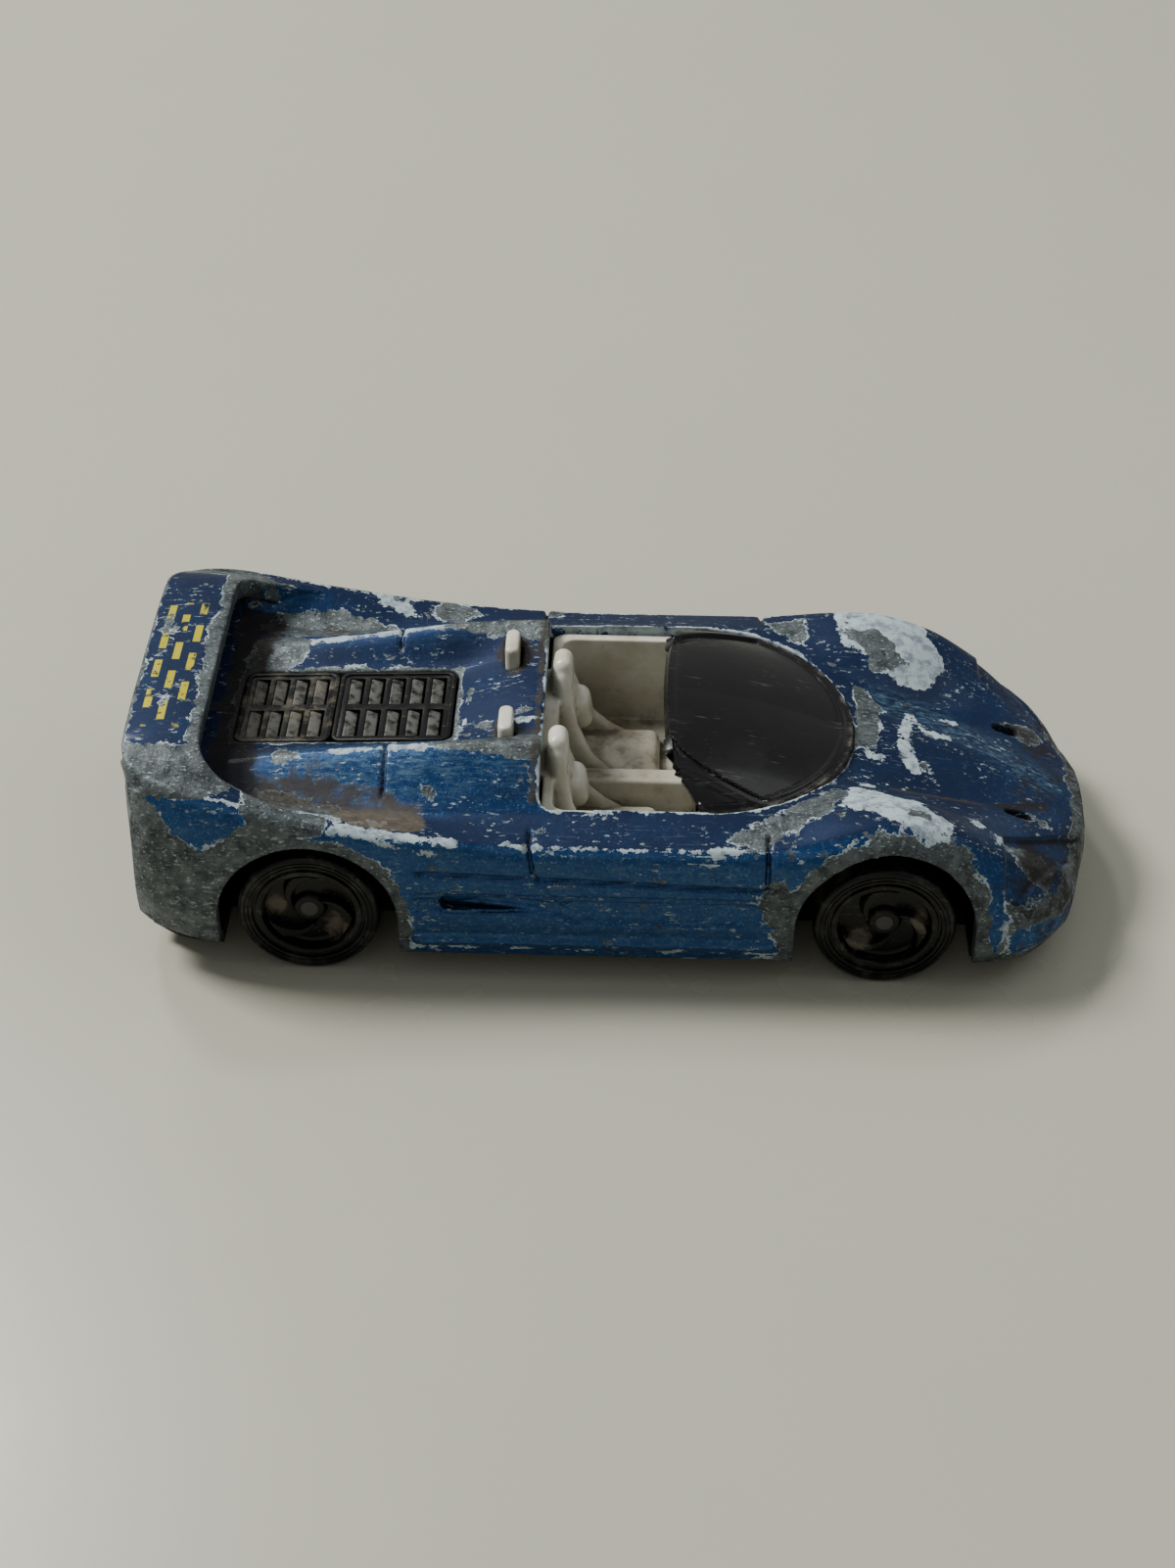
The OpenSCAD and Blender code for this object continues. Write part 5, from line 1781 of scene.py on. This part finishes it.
@dataclass(frozen=True)
class Enamel:
    """Metallic blue paint that wears through pale primer to grey metal."""

    navy: Colour = (0.0035, 0.013, 0.045)
    # The lighter blue below is painted sheen, laid where light would catch the paint; glint is the colour of the
    # painted glints on its flakes.
    bright: Colour = (0.005, 0.042, 0.14)
    glint: Colour = (0.05, 0.17, 0.34)
    film: Colour = (0.075, 0.15, 0.22)
    primer: Colour = (0.36, 0.44, 0.47)
    metal_dark: Colour = (0.026, 0.033, 0.035)
    metal_light: Colour = (0.11, 0.13, 0.135)
    tan: Colour = (0.14, 0.115, 0.075)
    # The near-black dirt colour below is used for dark dirt and, along the wing's front edge, inside the shell and in
    # hollows, as painted shade.
    soot_and_shade: Colour = (0.014, 0.011, 0.008)
    yellow: Colour = (0.42, 0.37, 0.02)
    scratched: Colour = (0.12, 0.17, 0.22)
    polished: Colour = (0.26, 0.27, 0.28)
    fleck: Colour = (0.3, 0.35, 0.36)
    chalk: Colour = (0.16, 0.2, 0.235)
    bar_pitch: float = 1.15
    bar_period: float = 3.6

    def material(self, effects: Effects, d: Datums) -> bpy.types.Material:
        """Builds the material.

        Args:
            effects: The shared node groups.
            d: The shared measures.

        Returns:
            The material.
        """
        f = Finish("blue enamel", effects)
        g, at = f.g, f.at
        wear = g.scaled(g.field("wear"), SPAN, -SPAN / 2)
        primer = g.scaled(g.field("primer"), SPAN, -SPAN / 2)
        clumps = g.step(g.noise(at, 5.0, 2), 0.42, 0.62)
        spots = g.scaled(g.times(g.step(g.noise(at, 0.8, 3), 0.54, 0.66), clumps), 3.3, -2.75)
        bare = f.effect(Effect.CHIPS, Distance=g.highest(wear, spots), Spread=0.85, Rim=0.14)
        pale = f.effect(Effect.CHIPS, Place=g.stretch(at, (1.3, 1.3, 1.3), (0.4, 0.2, 0.9)),
                           Distance=primer, Spread=0.8, Rim=0.1)
        pits = f.effect(Effect.PITTING)
        dirt = f.effect(Effect.GRIME, Amount=g.field("grime"))
        lines = f.effect(Effect.SCRATCHES, Amount=1.0)["Lines"]

        # Painted sheen and glints: the sheen share, with some random variation, lightens the blue, and flakes are
        # painted in the lighter glint blue where it is high.
        flake_a, flake_b = g.cells(at, 0.1, "Color"), g.cells(at, 0.22, "Color")
        sparkle = g.times(g.step(flake_a, 0.55, 0.95), g.step(flake_b, 0.3, 0.8))
        sheen_and_tone = g.math("ADD", g.field("bright"), g.scaled(g.noise(at, 3.5, 5, 0.65), 0.7, -0.35), clamp=True)
        paint_colour = g.mix(sheen_and_tone, self.navy, self.bright)
        paint_colour = g.mix(g.times(sparkle, g.scaled(sheen_and_tone, 0.75, 0.05)), paint_colour, self.glint)
        streaks = g.step(g.noise(g.stretch(at, (0.45, 1.6, 1.6)), 0.5, 5, 0.7), 0.42, 0.68)
        veil = g.times(g.field("haze"), streaks)
        paint_colour = g.mix(g.scaled(veil, 0.9), paint_colour, self.film)
        paint_colour = g.mix(g.scaled(lines, 0.3), paint_colour, self.scratched)

        marks = self.bars(g, at, d)
        paint_colour = g.mix(marks, paint_colour, self.yellow)

        metal = g.mix(pits["Shade"], self.metal_dark, self.metal_light)
        fleck = g.step(g.noise(g.stretch(at, (0.6, 1.4, 1.4)), 0.26, 4, 0.7), 0.56, 0.66)
        metal = g.mix(g.scaled(fleck, 0.85), metal, self.fleck)
        metal = g.mix(g.scaled(lines, 0.3), metal, self.polished)
        nicks = g.times(g.step(g.noise(g.stretch(at, (0.5, 1.3, 1.3)), 0.42, 4, 0.7), 0.6, 0.63),
                       g.step(g.noise(at, 3.2, 4, 0.6), 0.44, 0.54))
        under = g.highest(bare["Rim"], pale["Patch"], g.scaled(nicks, 0.8))
        chalk = g.mix(g.step(g.noise(at, 0.8, 5, 0.7), 0.42, 0.64), self.primer, self.chalk)
        colour = g.mix(under, paint_colour, chalk)
        colour = g.mix(bare["Patch"], colour, metal)
        # Dirt runs from tan to near black; along the wing's front edge, inside the shell and in hollows the dark
        # patches are painted shade as well as dirt.
        dirt_colour = g.mix(g.times(dirt["Tone"], g.scaled(g.field("soot_and_shade"), -1.0, 1.0)), self.soot_and_shade, self.tan)
        thick = g.times(dirt["Patch"], 0.85)
        colour = g.mix(thick, colour, dirt_colour)
        f.set(Base_Color=colour)
        gloss = g.total(g.scaled(g.noise(at, 1.2, 5, 0.65), 0.4, 0.3), g.scaled(g.field("bright"), -0.2),
                        g.scaled(lines, 0.2), g.scaled(under, 0.2))
        f.set(Specular_IOR_Level=0.22)
        rough = g.blend(bare["Patch"], gloss, g.scaled(pits["Shade"], -0.15, 0.56))
        f.set(Roughness=g.blend(thick, rough, 0.85))
        solid = g.math("SUBTRACT", 1.0, under)
        metallic = g.blend(bare["Patch"], g.scaled(solid, 0.45), 0.45)
        f.set(Metallic=g.times(metallic, g.math("SUBTRACT", 1.0, thick)))
        f.set(Coat_Weight=g.times(g.scaled(solid, 0.1), g.math("SUBTRACT", 1.0, thick)), Coat_Roughness=0.12)
        height = g.total(g.scaled(under, -0.03), g.scaled(bare["Patch"], -0.03), dirt["Height"],
                         g.times(bare["Patch"], pits["Height"]), g.scaled(g.noise(at, 1.3, 3), 0.03),
                         g.scaled(sparkle, 0.004), g.scaled(lines, -0.006))
        f.set(Normal=g.bump(height, 0.9))
        return f.material

    def bars(self, g: Graph, at: Socket, d: Datums) -> Socket:
        """Draws broken yellow bars that run across the wing.

        Args:
            g: The material's graph.
            at: Coordinates in millimetres.
            d: The shared measures.

        Returns:
            A mask, 1 on the bars.
        """
        axes = g.add("ShaderNodeSeparateXYZ")
        g.put(axes.inputs[0], at)
        x, y, z = axes.outputs
        middle, pitch = d.x_tail + 2.5, self.bar_pitch
        place = g.scaled(x, 1 / pitch, 1.5 - middle / pitch)
        column, thin = g.math("FLOOR", place), g.math("FRACT", place)
        phase = g.math("FRACT", g.total(g.scaled(y, 1 / self.bar_period), g.scaled(column, 0.37)))
        bar = g.times(g.step(phase, 0.1, 0.13), g.step(phase, 0.72, 0.69))
        bar = g.times(bar, g.times(g.step(thin, 0.26, 0.3), g.step(thin, 0.76, 0.72)))
        row = g.times(g.step(place, -0.02, 0.0), g.step(place, 3.02, 3.0))
        row = g.times(row, g.times(g.step(z, d.arch_top + 4.2, d.arch_top + 4.4),
                                             g.step(g.math("ABSOLUTE", g.scaled(y, 1.0, 1.2)), 7.8, 7.5)))
        kept = g.times(g.step(g.noise(at, 0.9, 5, 0.7), 0.36, 0.42), g.step(g.noise(at, 2.4, 2), 0.4, 0.44))
        return g.times(bar, row, kept)


@dataclass(frozen=True)
class DarkScreen:
    """Glossy near-black screen plastic with scratches."""

    colour: Colour = (0.003, 0.0036, 0.0032)
    dust: Colour = (0.11, 0.1, 0.085)
    scratched: Colour = (0.16, 0.16, 0.16)

    def material(self, effects: Effects) -> bpy.types.Material:
        """Builds the material.

        Args:
            effects: The shared node groups.

        Returns:
            The material.
        """
        f = Finish("dark screen", effects)
        g, at = f.g, f.at
        lines = f.effect(Effect.SCRATCHES, Amount=1.0)["Lines"]
        dirt = f.effect(Effect.GRIME, Amount=g.scaled(g.field("grime"), 0.45, -0.05))
        film = g.step(g.noise(at, 2.4, 4), 0.42, 0.75)
        colour = g.mix(g.scaled(lines, 0.35), self.colour, self.scratched)
        colour = g.mix(g.scaled(dirt["Patch"], 0.6), colour, self.dust)
        f.set(Base_Color=colour, Specular_IOR_Level=0.3, Coat_Roughness=0.12)
        f.set(Roughness=g.total(g.scaled(film, 0.14, 0.22), g.scaled(lines, 0.3), g.scaled(dirt["Patch"], 0.4)))
        f.set(Coat_Weight=g.scaled(dirt["Patch"], -0.15, 0.15))
        f.set(Normal=g.bump(g.total(g.scaled(g.noise(at, 1.8, 2), 0.04), g.scaled(lines, -0.006), dirt["Height"]), 0.6))
        return f.material


@dataclass(frozen=True)
class Ivory:
    """Old white plastic, set darker as painted shade, and brown in its hollows and low in the tub, as dirt and painted
    shade.
    """

    # The two ivory colours below are darker than the plastic's own white, as painted shade for the tub, which sits in
    # shadow.
    clean: Colour = (0.58, 0.58, 0.5)
    cream: Colour = (0.43, 0.405, 0.31)
    brown: Colour = (0.2, 0.165, 0.11)
    dark: Colour = (0.06, 0.045, 0.03)
    scratched: Colour = (0.45, 0.38, 0.28)
    deep: Colour = (0.6, 0.45, 0.3)

    def material(self, effects: Effects) -> bpy.types.Material:
        """Builds the material.

        Args:
            effects: The shared node groups.

        Returns:
            The material.
        """
        f = Finish("ivory plastic", effects)
        g, at = f.g, f.at
        dirt, lines, grain = f.plastic(g.field("grime"), 0.02)
        # The brown film follows the grime share, which holds painted shade low in the tub and in hollows as well as
        # dirt.
        film = g.math("MULTIPLY", g.field("grime"), g.scaled(g.noise(at, 2.2, 5), 0.9, 0.45), clamp=True)
        base = g.mix(g.step(g.noise(at, 3.2, 3), 0.35, 0.7), self.clean, self.cream)
        colour = g.mix(film, base, self.brown)
        colour = g.mix(g.scaled(dirt["Patch"], 0.75), colour, g.mix(dirt["Tone"], self.dark, self.brown))
        colour = g.mix(g.scaled(lines, 0.3), colour, self.scratched)
        f.set(Base_Color=colour, Subsurface_Weight=0.08, Subsurface_Radius=self.deep, Subsurface_Scale=0.0008)
        f.set(Roughness=g.total(g.scaled(film, 0.35, 0.24), g.scaled(dirt["Patch"], 0.25)))
        f.set(Normal=g.bump(g.total(grain["Height"], dirt["Height"]), 0.8))
        return f.material


@dataclass(frozen=True)
class BlackPlastic:
    """Black moulded plastic with dust, scuffs and pale residue."""

    name: str
    colour: Colour = (0.0022, 0.0022, 0.0021)
    pale: Colour = (0.2, 0.175, 0.125)
    # The grey below is the painted highlight of the louvre slats.
    slat: Colour = (0.125, 0.125, 0.117)
    worn: Colour = (0.2, 0.2, 0.19)
    scuffed: Colour = (0.14, 0.14, 0.13)
    gloss: float = 0.32
    fields: tuple[str, ...] = ()

    def material(self, effects: Effects) -> bpy.types.Material:
        """Builds the material.

        Args:
            effects: The shared node groups.

        Returns:
            The material.
        """
        f = Finish(self.name, effects)
        g, at = f.g, f.at
        dirt, lines, grain = f.plastic(g.field("grime") if "grime" in self.fields else 0.15, 0.012)
        colour = g.mix(grain["Shade"], self.colour, tuple(c * 2.2 for c in self.colour))
        # Painted highlight: the slats are lightened to grey where they catch the light, broken up by noise.
        if "slat" in self.fields:
            slat_highlight = g.times(g.field("slat"), g.step(g.noise(at, 0.7, 4), 0.3, 0.6))
            colour = g.mix(g.scaled(slat_highlight, 0.8), colour, self.slat)
        scuff = g.scaled(lines, 0.3)
        if "rim" in self.fields:
            worn = g.times(g.field("rim"), g.step(g.noise(at, 1.3, 5, 0.7), 0.5, 0.66))
            colour = g.mix(g.scaled(worn, 0.12), colour, self.worn)
        colour = g.mix(scuff, colour, self.scuffed)
        tan = g.mix(dirt["Tone"], tuple(c * 0.3 for c in self.pale), self.pale)
        colour = g.mix(g.scaled(dirt["Patch"], 0.8), colour, tan)
        f.set(Base_Color=colour)
        f.set(Roughness=g.total(g.scaled(grain["Shade"], 0.2, self.gloss), g.scaled(dirt["Patch"], 0.35), scuff))
        f.set(Specular_IOR_Level=0.22)
        f.set(Normal=g.bump(g.total(grain["Height"], dirt["Height"]), 0.8))
        return f.material


@dataclass(frozen=True)
class PlainFinish:
    """A clean finish for axles and for the sealed motor's parts."""

    name: str
    colour: Colour
    metallic: float = 0.0
    gloss: float = 0.35
    depth: float = 0.01
    spread: float = 0.35
    soil: Colour = (0.08, 0.06, 0.045)

    def material(self, effects: Effects) -> bpy.types.Material:
        """Builds the material.

        Args:
            effects: The shared node groups.

        Returns:
            The material.
        """
        f = Finish(self.name, effects)
        g = f.g
        dirt, lines, grain = f.plastic(0.12, self.depth)
        dark = tuple(c * (1 - self.spread) for c in self.colour)
        colour = g.mix(grain["Shade"], dark, self.colour)
        colour = g.mix(g.scaled(lines, 0.25), colour, tuple(min(1.0, c * 1.5 + 0.05) for c in self.colour))
        colour = g.mix(g.scaled(dirt["Patch"], 0.6), colour, self.soil)
        f.set(Base_Color=colour, Metallic=self.metallic)
        f.set(Roughness=g.total(g.scaled(grain["Shade"], 0.2, self.gloss), g.scaled(dirt["Patch"], 0.3)))
        f.set(Normal=g.bump(g.total(grain["Height"], dirt["Height"]), 0.7))
        return f.material


# --- studio
@dataclass
class Studio:
    """The camera, the lights and the pale floor."""

    camera_at: tuple[float, float, float] = (2.2, -161.0, 127.0)
    yaw: float = 1.55
    pitch: float = 36.93
    roll: float = 0.43
    lens: float = 62.53
    sensor: float = 36.0
    aim: tuple[float, float, float] = (0, 0, 0.008)
    table: Colour = (0.415, 0.41, 0.335)
    table_size: float = 6.0
    sky: Colour = (0.97, 0.98, 0.96)
    sky_strength: float = 0.3

    def camera(self) -> None:
        """Adds the camera."""
        data = bpy.data.cameras.new("camera")
        data.sensor_fit = "VERTICAL"
        data.sensor_height = self.sensor
        data.lens = self.lens
        data.clip_start, data.clip_end = 0.01, 20.0
        obj = bpy.data.objects.new("camera", data)
        bpy.context.scene.collection.objects.link(obj)
        yaw, pitch, roll = (math.radians(v) for v in (self.yaw, self.pitch, self.roll))
        forward = Vector((-math.sin(yaw) * math.cos(pitch), math.cos(yaw) * math.cos(pitch), -math.sin(pitch)))
        right = Vector((math.cos(yaw), math.sin(yaw), 0))
        up = right.cross(forward)
        r = right * math.cos(roll) + up * math.sin(roll)
        u = up * math.cos(roll) - right * math.sin(roll)
        m = Matrix((r, u, -forward)).transposed().to_4x4()
        m.translation = Vector(self.camera_at) * MM
        obj.matrix_world = m
        bpy.context.scene.camera = obj

    def lamp(self, name: str, at: Point, size: float, watts: float, tint: Colour) -> None:
        """Adds a soft area light that points at the car.

        Args:
            name: The light's name.
            at: Its place in metres.
            size: Its width in metres.
            watts: Its power.
            tint: Its colour.
        """
        data = bpy.data.lights.new(name, "AREA")
        data.size, data.energy, data.color = size, watts, tint
        obj = bpy.data.objects.new(name, data)
        obj.location = at
        obj.rotation_euler = (Vector(self.aim) - Vector(at)).to_track_quat("-Z", "Y").to_euler()
        bpy.context.scene.collection.objects.link(obj)

    def build(self, effects: Effects) -> None:
        """Sets up the whole studio.

        Args:
            effects: The shared node groups.
        """
        self.camera()
        self.lamp("key", (-0.52, 0.2, 0.6), 0.24, 10.0, (1.0, 0.985, 0.955))
        self.lamp("glint", (-0.26, 0.42, 0.6), 0.09, 1.3, (1.0, 1.0, 1.0))
        self.lamp("fill", (0.45, 0.1, 0.6), 0.5, 1.0, (0.97, 0.98, 1.0))
        self.lamp("front", (-0.2, -0.75, 0.45), 0.5, 0.35, (1.0, 0.985, 0.95))
        world = bpy.data.worlds.new("world")
        bpy.context.scene.world = world
        world.use_nodes = True
        background = world.node_tree.nodes["Background"]
        background.inputs["Color"].default_value = (*self.sky, 1)
        background.inputs["Strength"].default_value = self.sky_strength
        deselect()
        bpy.ops.mesh.primitive_plane_add(size=self.table_size, location=(0, 0, 0))
        ground = named("floor")
        f = Finish("pale table", effects)
        f.set(Base_Color=f.g.mix(f.g.noise(f.at, 40.0, 3), self.table, tuple(c * 0.95 for c in self.table)),
              Roughness=f.g.scaled(f.g.noise(f.at, 12.0, 3), 0.1, 0.22))
        ground.data.materials.append(f.material)


# --- assembly
def fit_piece(piece: Piece, body: str, node: str, finish: bpy.types.Material) -> None:
    """Gives a piece its finish and its place in the assembly.

    Args:
        piece: The finished mesh.
        body: The CAD body it rides on.
        node: The CAD node it stands for.
        finish: Its material.
    """
    piece.data.materials.clear()
    piece.data.materials.append(finish)
    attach(piece, body)
    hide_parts(node)
    LOG.info("%s: %d faces on %s", piece.name, len(piece.data.polygons), body)


def main() -> None:
    """Builds the car piece by piece."""
    logging.basicConfig(level=logging.INFO, format="%(message)s")
    d = Datums.from_frame()
    effects = Effects()
    Studio().build(effects)
    fit_piece(Casting(d).build(), "chassis", "body_shell", Enamel().material(effects, d))
    fit_piece(Windscreen(d).build(), "chassis", "windscreen", DarkScreen().material(effects))
    fit_piece(SeatTub(d).build(), "chassis", "interior_tub", Ivory().material(effects))
    louvre = BlackPlastic("louvre plastic", fields=("grime", "slat"), gloss=0.25).material(effects)
    for deck, node in ((Deck.FRONT, "louvre_front"), (Deck.REAR, "louvre_rear")):
        fit_piece(LouvrePanel(d, deck).build("panel_" + deck.name.lower()), "chassis", node, louvre)
    rubber = BlackPlastic("wheel plastic", fields=("grime", "rim"), gloss=0.2).material(effects)
    wheel = Wheel(d)
    master = wheel.build()
    for corner in Corner:
        node, body = corner.value[:2]
        fit_piece(wheel.fit(master, corner), body, node, rubber)
    bpy.data.objects.remove(master, do_unlink=True)
    steel = PlainFinish("dull steel", (0.09, 0.09, 0.088), 0.6, 0.5, 0.008, 0.5).material(effects)
    finishes = {
        "base_plate": BlackPlastic("base plastic", gloss=0.42).material(effects),
        "front_axle": steel, "rear_axle": steel, "reduction_pin": steel, "spring_arbor": steel,
        "motor_case": PlainFinish("motor shell", (0.5, 0.5, 0.48), 0.0, 0.4).material(effects),
        "axle_pinion": PlainFinish("natural nylon", (0.72, 0.68, 0.55)).material(effects),
        "spring_gear": PlainFinish("red drum", (0.42, 0.03, 0.02)).material(effects),
        "mainspring": PlainFinish("blued spring", (0.09, 0.11, 0.17), 0.95, 0.25, 0.004).material(effects),
    }
    finishes["motor_cover"] = finishes["motor_case"]
    finishes["reduction_gear"] = finishes["axle_pinion"]
    for node, finish in finishes.items():
        solid = bpy.data.objects[node]
        solid.data.materials.clear()
        solid.data.materials.append(finish)
        LOG.info("%s: dressed", node)


if __name__ == "__main__":
    main()
